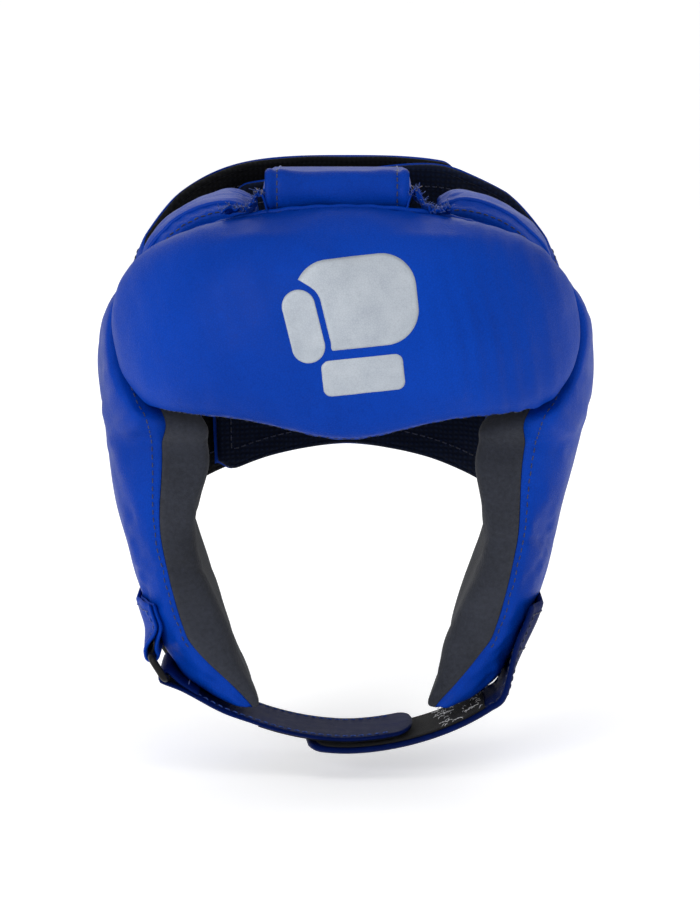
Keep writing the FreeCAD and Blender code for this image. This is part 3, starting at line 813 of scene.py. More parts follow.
def seam_relief(grid, seed, length=8.0, reach_in=9.0, depth=0.5, groove=0.9, ridge=0.45):
    from_u, from_v, along_u, along_v = edge_distance(grid)
    near = np.minimum(from_u, from_v)
    relief = -groove * gaussian(near, 1.6) + ridge * gaussian(near - 4.4, 1.9)
    relief += puckers(from_u, along_v, length, seed, reach_in, depth)
    relief += puckers(from_v, along_u, 1.1 * length, seed + 2.0, reach_in, depth)
    return relief, near


def clean_normals(grid, flip):
    """Normals of a pad's face, with the folded rows at its border steadied."""
    normal = grid_normals(grid)
    for rows in (normal, normal.swapaxes(0, 1)):
        rows[0], rows[1], rows[-1], rows[-2] = rows[2], rows[2], rows[-3], rows[-3]
    return -normal if flip else normal


LINING_RELIEF = 0.35


def forehead_relief(grid, face):
    relief, near = seam_relief(grid, 0.7, 9.0, 10.0, 0.45)
    relief += 0.55 * soft_noise(grid, 26.0) * smooth(near / 14.0)
    if face < 0:
        return LINING_RELIEF * relief
    relief *= mix(0.25, 1.0, smooth((grid[..., 2] - 34.0) / 16.0))
    x, z = grid[..., 0], grid[..., 2]
    lean = x + 0.22 * (z - 60.0)
    patch = smooth((x - 18.0) / 30.0) * smooth((96.0 - x) / 16.0) * smooth(near / 5.0)
    folds = np.sin(lean * 2 * math.pi / 7.6 + 1.3 * np.sin(z / 14.0) + 0.8 * np.sin(lean / 9.0))
    shares = 0.35 + 0.65 * smooth(0.5 + 0.5 * np.sin(z / 16.0 + lean / 12.0))
    relief += 0.34 * patch * folds * shares
    left = smooth((-x - 20.0) / 30.0) * smooth((100.0 + x) / 12.0) * smooth(near / 5.0)
    relief += 0.07 * left * np.sin(lean * 2 * math.pi / 9.5 + 1.6 * np.sin(z / 12.0))
    brow = smooth((58.0 - z) / 16.0) * smooth((near - 7.0) / 9.0)
    relief += 0.16 * brow * np.sin(x * 2 * math.pi / 13.0 + 1.4 * np.sin(x / 17.0))
    return relief


def side_relief(hand):
    def relief_of(grid, face):
        relief, near = seam_relief(grid, 1.3 + hand, 8.0, 8.0, 0.42)
        relief += 0.6 * soft_noise(grid, 24.0, 3.0 + hand) * smooth(near / 12.0)
        y, z = grid[..., 1], grid[..., 2]
        front = smooth((-y - 20.0) / 25.0) * smooth(near / 3.0)
        dart_z = -36.0 if hand < 0 else -24.0
        fold = z - dart_z + 0.18 * (y + 60.0)
        if face < 0:
            relief = LINING_RELIEF * relief - 0.6 * gaussian(fold, 2.2) * front
            return relief + 0.10 * np.sin(z * 2 * math.pi / 17.0 + y / 9.0) * front
        relief += 0.30 * np.sin((z + 0.5 * y) * 2 * math.pi / 12.0 + 1.5 * np.sin(y / 14.0)) \
            * front * (0.5 + 0.5 * np.sin(z / 15.0))
        relief -= 0.7 * gaussian(fold, 1.6) * front
        return relief
    return relief_of


def lobe_relief(hand):
    """The same small gathers on both faces of a crown lobe."""
    def relief_of(grid, _):
        relief, near = seam_relief(grid, 2.1 * hand, 6.5, 13.0, 0.95, 1.3, 0.9)
        return relief + 0.6 * soft_noise(grid, 15.0, 5.0 * hand) * smooth(near / 8.0)
    return relief_of


RELIEFS = {"forehead": forehead_relief, "side_left": side_relief(-1),
           "side_right": side_relief(1), "lobe_left": lobe_relief(-1),
           "lobe_right": lobe_relief(1)}
PAD_SKINS = {}


def pad_layers(name, face):
    """Outer grid of one face of a pad, its normals and the grid one skin deeper."""
    pad = PADS[name]
    base = pad.fine(face)
    relief = RELIEFS[name](base, face)
    relief[0], relief[-1], relief[:, 0], relief[:, -1] = -0.1, -0.1, -0.1, -0.1
    outward = clean_normals(base, pad.flip) * face
    grid = base + outward * relief[..., None]
    thick = LEATHER if face > 0 else SUEDE
    near = np.minimum(*edge_distance(grid)[:2])
    sink = thick * smooth((near + 0.9) / 3.0)
    outward = clean_normals(grid, pad.flip) * face
    return grid, outward, grid - outward * sink[..., None]


def holed_shell(name, outer, inner, flip):
    """Closed shell with the ear hole left open and its edge snapped to the hole's outline."""
    rows, cols = outer.shape[:2]
    share = ear_radius(outer)
    middle = 0.25 * (share[:-1, :-1] + share[1:, :-1] + share[1:, 1:] + share[:-1, 1:])
    kept = middle > 1.0
    rim = np.zeros((rows, cols), int)
    for di in (0, 1):
        for dj in (0, 1):
            rim[di:rows - 1 + di, dj:cols - 1 + dj] += ~kept
    on_rim = (rim > 0) & (rim < 4)
    gone = rim == 4
    for grid in (outer, inner):
        scale = 1.0 / np.maximum(ear_radius(grid), 1e-6)
        for axis, centre in ((1, EAR_CENTRE[0]), (2, EAR_CENTRE[1])):
            moved = centre + (grid[..., axis] - centre) * scale
            grid[..., axis] = np.where(on_rim, moved, grid[..., axis])
    used = np.flatnonzero(~gone.reshape(-1))
    place = -np.ones(rows * cols, int)
    place[used] = np.arange(len(used))
    count = len(used)
    verts = np.concatenate([outer.reshape(-1, 3)[used], inner.reshape(-1, 3)[used]])
    faces, edges = [], {}
    for i, j in zip(*np.nonzero(kept)):
        quad = [place[i * cols + j], place[(i + 1) * cols + j],
                place[(i + 1) * cols + j + 1], place[i * cols + j + 1]]
        quad = [int(k) for k in (quad[::-1] if flip else quad)]
        faces.append(tuple(quad))
        faces.append(tuple(k + count for k in quad[::-1]))
        for a, b in zip(quad, quad[1:] + quad[:1]):
            edges[(a, b)] = True
    for a, b in edges:
        if (b, a) not in edges:
            faces.append((b, a, a + count, b + count))
    return make_object(name, verts, faces)


def make_pad(name, cover_name, lining_name, cover_nodes, lining_nodes, material):
    pad = PADS[name]
    for face, label, nodes, slot, look in (
            (1, cover_name, cover_nodes, "blue_leather", material),
            (-1, lining_name, lining_nodes, "grey_suede", "grey_suede")):
        outer, outward, inner = pad_layers(name, face)
        PAD_SKINS[name, face] = (outer, outward)
        flip = pad.flip if face > 0 else not pad.flip
        if pad.hole:
            made = holed_shell(label, outer.copy(), inner.copy(), flip)
        else:
            made = shell(label, outer, inner, flip)
        finish_piece(made, look, "pads", nodes)


make_pad("forehead", "forehead_cover_sewn", "forehead_lining_sewn",
         ("forehead_cover", "forehead_foam_firm", "forehead_foam_soft"),
         ("forehead_lining",), "blue_leather")
for label in ("left", "right"):
    make_pad("side_" + label, "side_cover_sewn_" + label, "side_lining_sewn_" + label,
             ("side_cover_" + label, "side_foam_" + label), ("side_lining_" + label,),
             "blue_leather")
    make_pad("lobe_" + label, "crown_pad_cover_sewn_" + label,
             "crown_pad_lining_sewn_" + label,
             ("crown_pad_cover_" + label, "crown_pad_foam_" + label),
             ("crown_pad_lining_" + label,), "lobe_leather")


def ear_binding(hand, label):
    """Leather sleeve through the ear hole with a rolled lip on both faces."""
    turns = np.linspace(0.0, 2 * math.pi, 97)[:-1]
    y = EAR_CENTRE[0] + (EAR_HALF[0] - 0.2) * np.cos(turns)
    z = EAR_CENTRE[1] + (EAR_HALF[1] - 0.2) * np.sin(turns)
    outer, inner = side_x(y, z, 0.0), side_x(y, z, 1.0) - 23.5 - 10.0 * np.exp(
        -((z - 14.0) / 24.0) ** 2)
    shift = tuck(hand, z)
    radial = stack(0.0 * y, (y - EAR_CENTRE[0]) / EAR_HALF[0], (z - EAR_CENTRE[1]) / EAR_HALF[1])
    radial /= np.linalg.norm(radial, axis=1, keepdims=True)
    section = []
    lip, deep = 2.0, 1.5
    for k in range(9):
        a = math.pi * k / 8
        section.append((outer + lip * math.sin(a), lip * (1.0 - 2.0 * k / 8)))
    for share in (0.2, 0.4, 0.6, 0.8):
        section.append((mix(outer, inner, share), -deep + 0.0 * y))
    for k in range(9):
        a = math.pi * k / 8
        section.append((inner - lip * math.sin(a), -lip * (1.0 - 2.0 * k / 8)))
    for share in (0.8, 0.6, 0.4, 0.2):
        section.append((mix(outer, inner, share), -0.2 + 0.0 * y))
    rings = []
    ripple = 0.12 * np.sin(turns * 23.0) + 0.10 * np.sin(turns * 11.0 + 1.0)
    for depth, out in section:
        centre = stack(hand * (depth - shift), y, z)
        rings.append(centre + radial * (out + ripple)[:, None])
    grid = np.stack(rings, axis=1)
    rows, cols = grid.shape[:2]
    faces = grid_faces(rows, cols, wrap_u=True, wrap_v=True, flip=hand > 0)
    made = make_object("ear_binding_rolled_" + label, grid.reshape(-1, 3), faces)
    finish_piece(made, "blue_leather", "pads", ("ear_binding_" + label,))


ear_binding(-1, "left")
ear_binding(1, "right")


# ---------------------------------------------------------------- forehead emblem

EMBLEM_Z = 71.0
EMBLEM_GAP = 2.2
GLOVE_FIST = (4.0, 8.0, 23.0, 17.0, 13.0, -6.0)
GLOVE_THUMB = (-16.0, -1.0, 6.3, 14.0, 6.2, -14.0)
GLOVE_CUFF = (6.5, -19.5, 15.5, 7.0, 3.0, -6.0)


def inside_bar(x, z, bar, grow=0.0):
    """Whether points lie in a tilted rectangle with rounded corners."""
    centre_x, centre_z, half_x, half_z, radius, tilt = bar
    a = math.radians(tilt)
    dx, dz = x - centre_x, z - centre_z
    px = dx * math.cos(a) - dz * math.sin(a)
    pz = dx * math.sin(a) + dz * math.cos(a)
    qx = np.abs(px) - (half_x - radius)
    qz = np.abs(pz) - (half_z - radius)
    away = np.hypot(np.maximum(qx, 0.0), np.maximum(qz, 0.0)) + np.minimum(np.maximum(qx, qz), 0)
    return away < radius + grow


def skin_tree(name):
    grid, _ = PAD_SKINS[name, 1]
    rows, cols = grid.shape[:2]
    return BVHTree.FromPolygons(grid.reshape(-1, 3).tolist(), grid_faces(rows, cols))


def emblem_shape(tree, name, bar, others, start=(0.0, 0.0)):
    """Thin printed film in one shape, laid on the forehead leather."""
    spokes, rings = 140, 16
    cx, cz = bar[0] + start[0], bar[1] + start[1]
    reach_out = np.linspace(0.0, 42.0, 700)
    top, bottom = [], []
    for k in range(spokes):
        a = 2 * math.pi * k / spokes
        x = cx + reach_out * math.cos(a)
        z = cz + reach_out * math.sin(a)
        good = inside_bar(x, z, bar)
        for other in others:
            good &= ~inside_bar(x, z, other, EMBLEM_GAP)
        stop = int(np.argmin(good)) if not good.all() else len(good) - 1
        edge = reach_out[max(0, stop - 1)]
        for share in np.linspace(0.0, 1.0, rings + 1)[1:]:
            r = edge * share
            hit, normal, _, _ = tree.ray_cast(
                Vector((cx + r * math.cos(a), -300.0, EMBLEM_Z + cz + r * math.sin(a))),
                Vector((0.0, 1.0, 0.0)))
            normal = normal if normal.y < 0 else -normal
            lift = 0.22 if share < 0.99 else 0.10
            top.append(hit + normal * lift)
            bottom.append(hit - normal * 0.12)
    hit, normal, _, _ = tree.ray_cast(Vector((cx, -300.0, EMBLEM_Z + cz)), Vector((0, 1.0, 0)))
    normal = normal if normal.y < 0 else -normal
    verts = [tuple(v) for v in top + bottom] + [tuple(hit + normal * 0.22),
                                                tuple(hit - normal * 0.12)]
    count, faces = spokes * rings, []
    for k in range(spokes):
        n = (k + 1) % spokes
        faces.append((2 * count, k * rings, n * rings))
        faces.append((2 * count + 1, count + n * rings, count + k * rings))
        for j in range(rings - 1):
            a, b = k * rings + j, n * rings + j
            faces.append((a, a + 1, b + 1, b))
            faces.append((a + count, b + count, b + 1 + count, a + 1 + count))
        a, b = k * rings + rings - 1, n * rings + rings - 1
        faces.append((a, a + count, b + count, b))
    return make_object(name, verts, faces)


TREE = skin_tree("forehead")
emblem = join("forehead_emblem_print", [
    emblem_shape(TREE, "fist", GLOVE_FIST, [GLOVE_THUMB], (4.0, 0.0)),
    emblem_shape(TREE, "thumb", GLOVE_THUMB, []),
    emblem_shape(TREE, "cuff", GLOVE_CUFF, [GLOVE_THUMB], (2.0, 0.0))])
finish_piece(emblem, "emblem_print", "pads", ("forehead_emblem",))


# ---------------------------------------------------------------- seams of the pads

def seam_threads():
    """Rows of stitches beside the seams."""
    made = []
    for label in ("left", "right"):
        grid, normal = PAD_SKINS["side_" + label, 1]
        made += stitches(grid[2, 20:-8], normal[2, 20:-8], 3.3, 1.9, 0.22)
        made += stitches(grid[-3, 10:-8], normal[-3, 10:-8], 3.3, 1.9, 0.26)
        made += stitches(grid[6:-6, 2], normal[6:-6, 2], 3.3, 1.9, 0.26)
        lobe, lobe_normal = PAD_SKINS["lobe_" + label, 1]
        made += stitches(lobe[3, 4:-4], lobe_normal[3, 4:-4], 3.0, 1.8, 0.26)
        made += stitches(lobe[4:-4, 3], lobe_normal[4:-4, 3], 3.0, 1.8, 0.26)
    grid, normal = PAD_SKINS["forehead", 1]
    for row in (3, -4):
        made += stitches(grid[row, 6:-6], normal[row, 6:-6], 3.2, 1.9, 0.20)
    made += stitches(grid[8:-8, 3], normal[8:-8, 3], 3.2, 1.9, 0.20)
    threads = join("pad_seam_stitches", made)
    finish_piece(threads, "dark_thread", "pads")


def smooth_path(points, step=1.2):
    """Even points along a smooth curve through a few given ones."""
    points = np.asarray(points, float)
    shift = upsample(points[:, None, :].repeat(2, axis=1), ((len(points) - 1) * 24 + 1, 2))[:, 0]
    length = np.concatenate([[0], np.cumsum(np.linalg.norm(np.diff(shift, axis=0), axis=1))])
    wanted = np.linspace(0, length[-1], max(4, int(length[-1] / step)))
    return np.stack([np.interp(wanted, length, shift[:, k]) for k in range(shift.shape[1])], 1)


def border_path(grid, inset):
    """Closed path round a grid, a given number of cells inside its border."""
    cut = grid[inset:len(grid) - inset, inset:grid.shape[1] - inset]
    ring = border_numbers(*cut.shape[:2])
    return cut.reshape(-1, 3)[ring]


def forehead_piping():
    """Thin puckered binding that covers the seam all round the forehead pad."""
    border = border_path(PAD_SKINS["forehead", 1][0], 0)
    for _ in range(4):
        border = 0.5 * border + 0.25 * (np.roll(border, 1, 0) + np.roll(border, -1, 0))
    upper = smooth((border[:, 2] - 95.0) / 8.0)
    border[:, 2] += 0.15 * np.sin(np.arange(len(border)) * 0.7) + 0.4 * upper
    pipe = tube("forehead_piping", border, 1.15, 10, closed=True)
    finish_piece(pipe, "blue_leather", "pads")


LOBE_RIDGE_ROW = 9


def lobe_piping(label):
    border = border_path(PAD_SKINS["lobe_" + label, 1][0], 0)
    for _ in range(6):
        border = 0.5 * border + 0.25 * (np.roll(border, 1, 0) + np.roll(border, -1, 0))
    ripple = 0.25 * np.sin(np.arange(len(border)) * 0.9)
    border[:, 2] += ripple
    pipe = tube("crown_pad_piping_" + label, border, 1.7, 10, closed=True)
    finish_piece(pipe, "lobe_leather", "pads")
    face = PAD_SKINS["lobe_" + label, 1][0]
    ridge = face[LOBE_RIDGE_ROW, 4:-4].copy()
    ridge[1:-1] = 0.5 * ridge[1:-1] + 0.25 * (ridge[:-2] + ridge[2:])
    welt = tube("crown_pad_welt_" + label, smooth_path(ridge[::3]), 1.15, 10)
    finish_piece(welt, "lobe_leather", "pads")


seam_threads()
forehead_piping()
lobe_piping("left")
lobe_piping("right")


# ---------------------------------------------------------------- crown roll, tongue, web

def crown_roll():
    """Padded roll: a stitched leather tube with hemmed ends round a foam core."""
    centre = 0.5 * (ROLL_LOW + ROLL_HIGH)
    half = 0.5 * (ROLL_HIGH - ROLL_LOW)
    x = np.linspace(-half[0], half[0], 60)
    turn = np.linspace(0.0, 2 * math.pi, 73)[:-1]
    end = half[0] - np.abs(x)
    dip = -0.75 * gaussian(end - 4.2, 0.9) + 0.35 * gaussian(end - 1.4, 1.3) \
        - 0.9 * gaussian(end, 0.7)
    across, about = x[:, None], turn[None, :]
    wave = 0.32 * np.sin(across / 3.1 + 2.0 * np.sin(about) + 0.7) * gaussian(
        np.minimum(end, 14.0) - 7.0, 5.0)[:, None]
    wave = wave + 0.30 * np.sin(across / 6.3 + 1.1 * np.cos(2 * about)) \
        + 0.22 * np.sin(across / 4.1 - 3.0 * about)
    radius = 1.0 + (dip[:, None] + wave - 0.2) / half[2]
    cx = centre[0] + across + 0.0 * about
    outer = stack(cx, centre[1] + half[1] * radius * np.cos(about),
                  centre[2] + half[2] * radius * np.sin(about))
    shrink = (half[2] - LEATHER) / half[2]
    inner = stack(cx, centre[1] + half[1] * shrink * radius * np.cos(about),
                  centre[2] + half[2] * shrink * radius * np.sin(about))
    rows, cols = outer.shape[:2]
    count = rows * cols
    faces = grid_faces(rows, cols, wrap_v=True) \
        + grid_faces(rows, cols, count, wrap_v=True, flip=True)
    for k in range(cols):
        n = (k + 1) % cols
        last = (rows - 1) * cols
        faces.append((k, n, n + count, k + count)[::-1])
        faces.append((last + k, last + n, last + n + count, last + k + count))
    cover = make_object("crown_roll_sewn", np.concatenate([outer.reshape(-1, 3),
                                                            inner.reshape(-1, 3)]), faces)
    finish_piece(cover, "blue_leather", "pads", ("crown_roll_cover",))
    path = stack(np.linspace(-half[0] + 1.0, half[0] - 1.0, 40) + centre[0], centre[1], centre[2])
    core = tube("crown_roll_filling", path, half[1] - LEATHER - 0.3, 40,
                up=(0.0, 0.0, 1.0))
    finish_piece(core, "foam", "pads", ("crown_roll_core",))
    made = []
    for row in (5, -6):
        ring = outer[row]
        out = ring - centre
        out[:, 0] = 0.0
        out /= np.linalg.norm(out, axis=1, keepdims=True)
        made += stitches(np.concatenate([ring, ring[:1]]), np.concatenate([out, out[:1]]),
                         2.9, 1.8, 0.27)
    finish_piece(join("crown_roll_stitches", made), "dark_thread", "pads")


def crown_tongue():
    """Gathered raw-edged leather under the roll, torn along its front and frayed."""
    low, high = node_box("crown_tongue")
    x = np.linspace(low[0], high[0], 300)
    y = np.linspace(low[1] - 1.0, high[1], 26)
    gx, gy = np.meshgrid(x, y, indexing="ij")
    away = np.abs(gx - 0.5 * (ROLL_LOW[0] + ROLL_HIGH[0])) - 28.0
    beside = smooth((away + 2.0) / 3.0)
    to_front = smooth((low[1] + 8.0 - gy) / 8.0)
    torn = np.abs(np.sin(gx / 0.83 + 1.9 * np.sin(gx / 2.9))) ** 2 + 0.6 * np.sin(gx / 1.9)
    crumple = soft_noise(stack(gx, gy, 0.0 * gx), 3.1, 4.0)
    rise = 6.4 * gaussian(away - 1.0, 4.5) + 1.6 + 0.9 * crumple + 1.5 * to_front * torn
    middle = stack(gx + 0.6 * beside * crumple, gy + beside * (0.9 * crumple - 0.8 * torn),
                   low[2] + 0.9 + beside * rise)
    tongue = plate("crown_tongue_gathered", middle, 0.9)
    finish_piece(tongue, "blue_leather", "pads", ("crown_tongue",))
    front = middle[:, :6]
    made = {"blue_thread": [], "tan_fibre": []}
    for hand in (-1, 1):
        edge_x = ROLL_LOW[0] if hand < 0 else ROLL_HIGH[0]
        for k in range(150):
            out = 0.4 + 16.0 * (k / 150.0) ** 1.3
            column = int(np.argmin(np.abs(x - edge_x - hand * out)))
            start = front[column, int(rng.integers(0, 6))]
            way = np.array([rng.normal(0.0, 0.7), rng.uniform(-0.8, 0.1),
                            rng.uniform(0.2, 1.0)])
            way /= np.linalg.norm(way)
            bend = rng.normal(0.0, 0.5, 3)
            size = rng.uniform(0.9, 2.6)
            line = [start + way * t * size + bend * t * t for t in np.linspace(0, 1, 5)]
            look = "tan_fibre" if k < 26 and k % 2 else "blue_thread"
            made[look].append(tube("fibre", line, 0.13 if look == "blue_thread" else 0.07, 5))
    for look, label in (("blue_thread", "crown_tongue_fray"), ("tan_fibre", "crown_tongue_fibres")):
        finish_piece(join(label, made[look]), look, "pads")


def gusset(hand, label):
    """Soft web that joins a crown lobe to the top of the side pad."""
    low, high = node_box("crown_pad_gusset_" + label)
    y = np.linspace(low[1], high[1], 44)[:, None]
    v = np.linspace(0.0, 1.0, 12)[None, :]
    front = side_front(np.array(70.0), 12.0)
    across = 2.0 * (y - front) / (SIDE_REAR_Y - front) - 1.0
    z = mix(side_top(across) - 2.5, 83.0, v)
    x = mix(84.2, 85.3, v) + 0.5 * np.sin(y / 2.1) * np.sin(math.pi * v) - 0.7
    web = plate("crown_pad_web_" + label, stack(hand * x, y, z), 1.4)
    finish_piece(web, "wing_leather", "pads", ("crown_pad_gusset_" + label,))


crown_roll()
crown_tongue()
gusset(-1, "left")
gusset(1, "right")


# ---------------------------------------------------------------- crown strap

def strap_slab(name, line, x_low, x_high, thick, wave):
    """Leather band across X that follows a line of (y, z) points."""
    step = 1.4
    path = smooth_path(line, step)
    x = np.linspace(x_low, x_high, max(4, int((x_high - x_low) / 2.0)))
    tangent = np.gradient(path, axis=0)
    tangent /= np.linalg.norm(tangent, axis=1, keepdims=True)
    lift = np.stack([-tangent[:, 1], tangent[:, 0]], 1)
    along = np.arange(len(path))[:, None] * step
    bulge = wave * np.sin(along / 13.0 + x[None, :] / 19.0)
    y = path[:, 0][:, None] + lift[:, 0][:, None] * bulge
    z = path[:, 1][:, None] + lift[:, 1][:, None] * bulge
    middle = stack(x[None, :], y, z)
    return plate(name, middle, thick), middle


CROWN_LINE = [(-72.0, 118.4), (-48.0, 119.9), (-18.0, 120.3), (14.0, 119.7), (44.0, 117.9),
              (62.0, 116.2), (73.0, 112.4), (75.9, 104.0), (74.3, 93.0)]


def crown_strap():
    low, high = node_box("crown_strap")
    line = [(CROWN_HINGE[1] - 4.0, CROWN_LINE[0][1] - 0.4)] + CROWN_LINE
    strap, middle = strap_slab("crown_strap_leather", line, low[0], high[0], CROWN_STRAP_THICK,
                               0.25)
    finish_piece(strap, "blue_leather", None, ("crown_strap",))
    patch_low, patch_high = node_box("crown_hook_patch")
    rear = [(y - 2.9 * 0.15, z - 2.6) for y, z in CROWN_LINE[4:6]]
    rear += [(71.0, 110.0), (72.9, 103.6), (71.4, 93.5)]
    patch, _ = strap_slab("crown_strap_hooks", rear, patch_low[0], patch_high[0], TAPE, 0.0)
    finish_piece(patch, "hook_tape", "crown_strap", ("crown_hook_patch",))
    normal = grid_normals(middle)
    normal *= np.sign(normal[len(normal) // 2, 2, 2])
    made = []
    for col in (2, -3):
        path = middle[4:-3, col] + normal[4:-3, col] * (0.5 * CROWN_STRAP_THICK)
        made += stitches(path, normal[4:-3, col], 3.4, 2.1, 0.27)
    threads = join("crown_strap_stitches", made)
    finish_piece(threads, "blue_thread")
    for piece in (strap, threads):
        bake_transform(piece)


crown_strap()


# ---------------------------------------------------------------- rear wings

WING_HIDDEN_ROOT = 111.0


def wing_top(angle):
    corner = 1.0 - smooth((angle - WING_ROOT_ANGLE) / 10.0)
    return WING_TOP_Z - 24.0 * (np.abs(180.0 - angle) / 67.0) ** 3 - 15.0 * corner


def wing_bottom(angle):
    return -8.0 - 34.0 * (np.abs(180.0 - angle) / 67.0) ** 1.6


def wing_grid(hand, end, drop, shift, depth, margin, u_from=0.0, u_to=1.0, v_from=0.0, v_to=1.0):
    """Points of a rear wing's layer: from its root in the side pad round the back."""
    count_u = int(150 * (u_to - u_from))
    u = np.linspace(u_from, u_to, count_u)[:, None]
    v = np.linspace(v_from, v_to, int(66 * (v_to - v_from)))[None, :]
    step = math.degrees(margin / 100.0)
    angle = mix(WING_HIDDEN_ROOT + step, end - step, u)
    back = smooth((angle - 140.0) / 60.0)
    tip = smooth((angle - (end - 7.0)) / 7.0) ** 2
    low = wing_bottom(np.maximum(angle, 113.0)) + margin + 6.0 * tip
    high = wing_top(angle) - drop * back - margin - 6.0 * tip
    z = mix(low, high, v)
    hidden = 8.5 * (1.0 - smooth((angle - WING_HIDDEN_ROOT) / 7.5))
    inward = shift * smooth((angle - WING_ROOT_ANGLE) / 26.0) + hidden
    return around(hand * angle, z, depth + inward, BACK_TAPER)


def wing(label, hand, end, drop, shift, order, patch):
    """One rear wing: leather back, black lining, bound edge and tape."""
    leather_at, lining_at = order
    inside = "black_lining" if label == "outer" else "navy_lining"

    def puffed(depth, outward, amount):
        margin = -0.5 if outward > 0 else 1.4
        grid = wing_grid(hand, end, drop, shift, depth, margin)
        from_u, from_v, _, _ = edge_distance(grid)
        near = np.minimum(from_u, from_v)
        relief = amount * smooth((near - 6.0) / 10.0) * (0.45 + 0.35 * soft_noise(grid, 22.0))
        relief += 0.18 * np.sin(grid[..., 2] / 4.0 + 2.0 * np.sin(from_u / 15.0)) \
            * gaussian(near - 8.0, 5.0)
        normal = grid_normals(grid)
        facing = np.sign(np.sum(normal * grid * [1, 1, 0], axis=-1, keepdims=True))
        normal = normal * facing * outward
        return grid + normal * relief[..., None], normal

    back, back_normal = puffed(leather_at, 1.0, 0.9)
    front, front_normal = puffed(lining_at, -1.0, 0.6)
    flip = hand < 0
    skin = plate("rear_wing_%s_leather_sewn" % label, back, WING_THICK, flip=flip)
    finish_piece(skin, "blue_leather", None,
                 ("rear_wing_%s_leather" % label, "rear_wing_%s_foam" % label))
    lining = plate("rear_wing_%s_lining_sewn" % label, front, 0.9, flip=flip)
    finish_piece(lining, inside, None, ("rear_wing_%s_lining" % label,))
    edge = border_path(wing_grid(hand, end, drop, shift, lining_at - 1.2, 1.6), 0)
    edge[:, 2] += 0.12 * np.sin(np.arange(len(edge)) * 0.21)
    binding = tube("rear_wing_%s_binding" % label, edge, 1.6, 12, closed=True)
    finish_piece(binding, inside)
    made = []
    for grid, normal, off in ((back, back_normal, 0.7), (front, front_normal, 0.45)):
        path = border_path(grid + normal * off, 4)
        out = border_path(normal, 4)
        made += stitches(path, out, 3.6, 2.3, 0.28)
    threads = join("rear_wing_%s_stitches" % label, made)
    finish_piece(threads, "dark_thread")
    patch_name, depth, node, look, u_from = patch
    tape_grid = wing_grid(hand, end, drop, shift, depth, 3.0, u_from, 0.97, 0.10, 0.90)
    tape = plate(patch_name, tape_grid, TAPE, flip=flip)
    finish_piece(tape, look, None, (node,))
    for piece in (skin, lining, binding, threads, tape):
        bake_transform(piece)


wing("outer", -1.0, 214.0, 0.0, 0.0, (0.7, 4.1),
     ("rear_wing_hooks", 5.3, "rear_wing_hook_patch", "hook_tape", 0.46))
wing("inner", 1.0, 216.0, 9.0, 6.3, (1.8, 5.1),
     ("rear_wing_loops", 0.4, "rear_wing_loop_patch", "loop_tape", 0.34))


# ---------------------------------------------------------------- chin straps and tabs

STRAP_CENTRE_Z = -66.0
STRAP_HALF_X = 80.0
STRAP_HALF_Z = 47.0
STRAP_POWER = 1.8
MID_Y = 0.5 * (STRAP_FRONT_Y + STRAP_REAR_Y)


def strap_curve(t, depth):
    """Chin strap line: t is 0 at the right-hand root and 1 under the chin."""
    start = math.asin(((STRAP_CENTRE_Z - CHIN_HINGE[2] - 0.5) / STRAP_HALF_Z) ** 0.9)
    angle = mix(start, 0.5 * math.pi, np.asarray(t, float))
    c, s = np.cos(angle), np.sin(angle)
    x = (STRAP_HALF_X - depth) * np.sign(c) * np.abs(c) ** (2.0 / STRAP_POWER)
    z = STRAP_CENTRE_Z - (STRAP_HALF_Z - depth) * np.abs(s) ** (2.0 / STRAP_POWER)
    return np.stack([x, z], axis=-1)


def ribbon(name, line, thick, y_low, y_high, step=1.1, bend=None, round_end=0.0):
    """Leather ribbon across Y along a line of (x, z) points."""
    path = smooth_path(line, step)
    y = np.linspace(y_low, y_high, int((y_high - y_low) / 1.3))
    along = np.arange(len(path)) * step
    left = (len(path) - 1) * step - along
    narrow = np.ones(len(path))
    if round_end:
        t = np.clip(left / round_end, 0.0, 1.0)
        narrow = np.sqrt(np.maximum(0.05, 1.0 - (1.0 - t) ** 2 * 0.95))
    mid = 0.5 * (y_low + y_high)
    gy = mid + (y[None, :] - mid) * narrow[:, None]
    gx = path[:, 0][:, None] + 0.0 * gy
    gz = path[:, 1][:, None] + 0.0 * gy
    if bend is not None:
        gx = gx + bend(gy, gz)
    middle = stack(gx, gy, gz)
    return plate(name, middle, thick), middle


def ribbon_stitches(middle, thick, cols, rows=slice(2, -2), side=1.0):
    normal = grid_normals(middle) * side
    made = []
    for col in cols:
        path = middle[rows, col] + normal[rows, col] * (0.5 * thick)
        made += stitches(path, normal[rows, col], 3.3, 2.1, 0.27)
    return made


def cross_stitches(middle, thick, row, side=1.0):
    normal = grid_normals(middle) * side
    path = middle[row, 2:-2] + normal[row, 2:-2] * (0.5 * thick)
    return stitches(path, normal[row, 2:-2], 3.0, 1.9, 0.27)


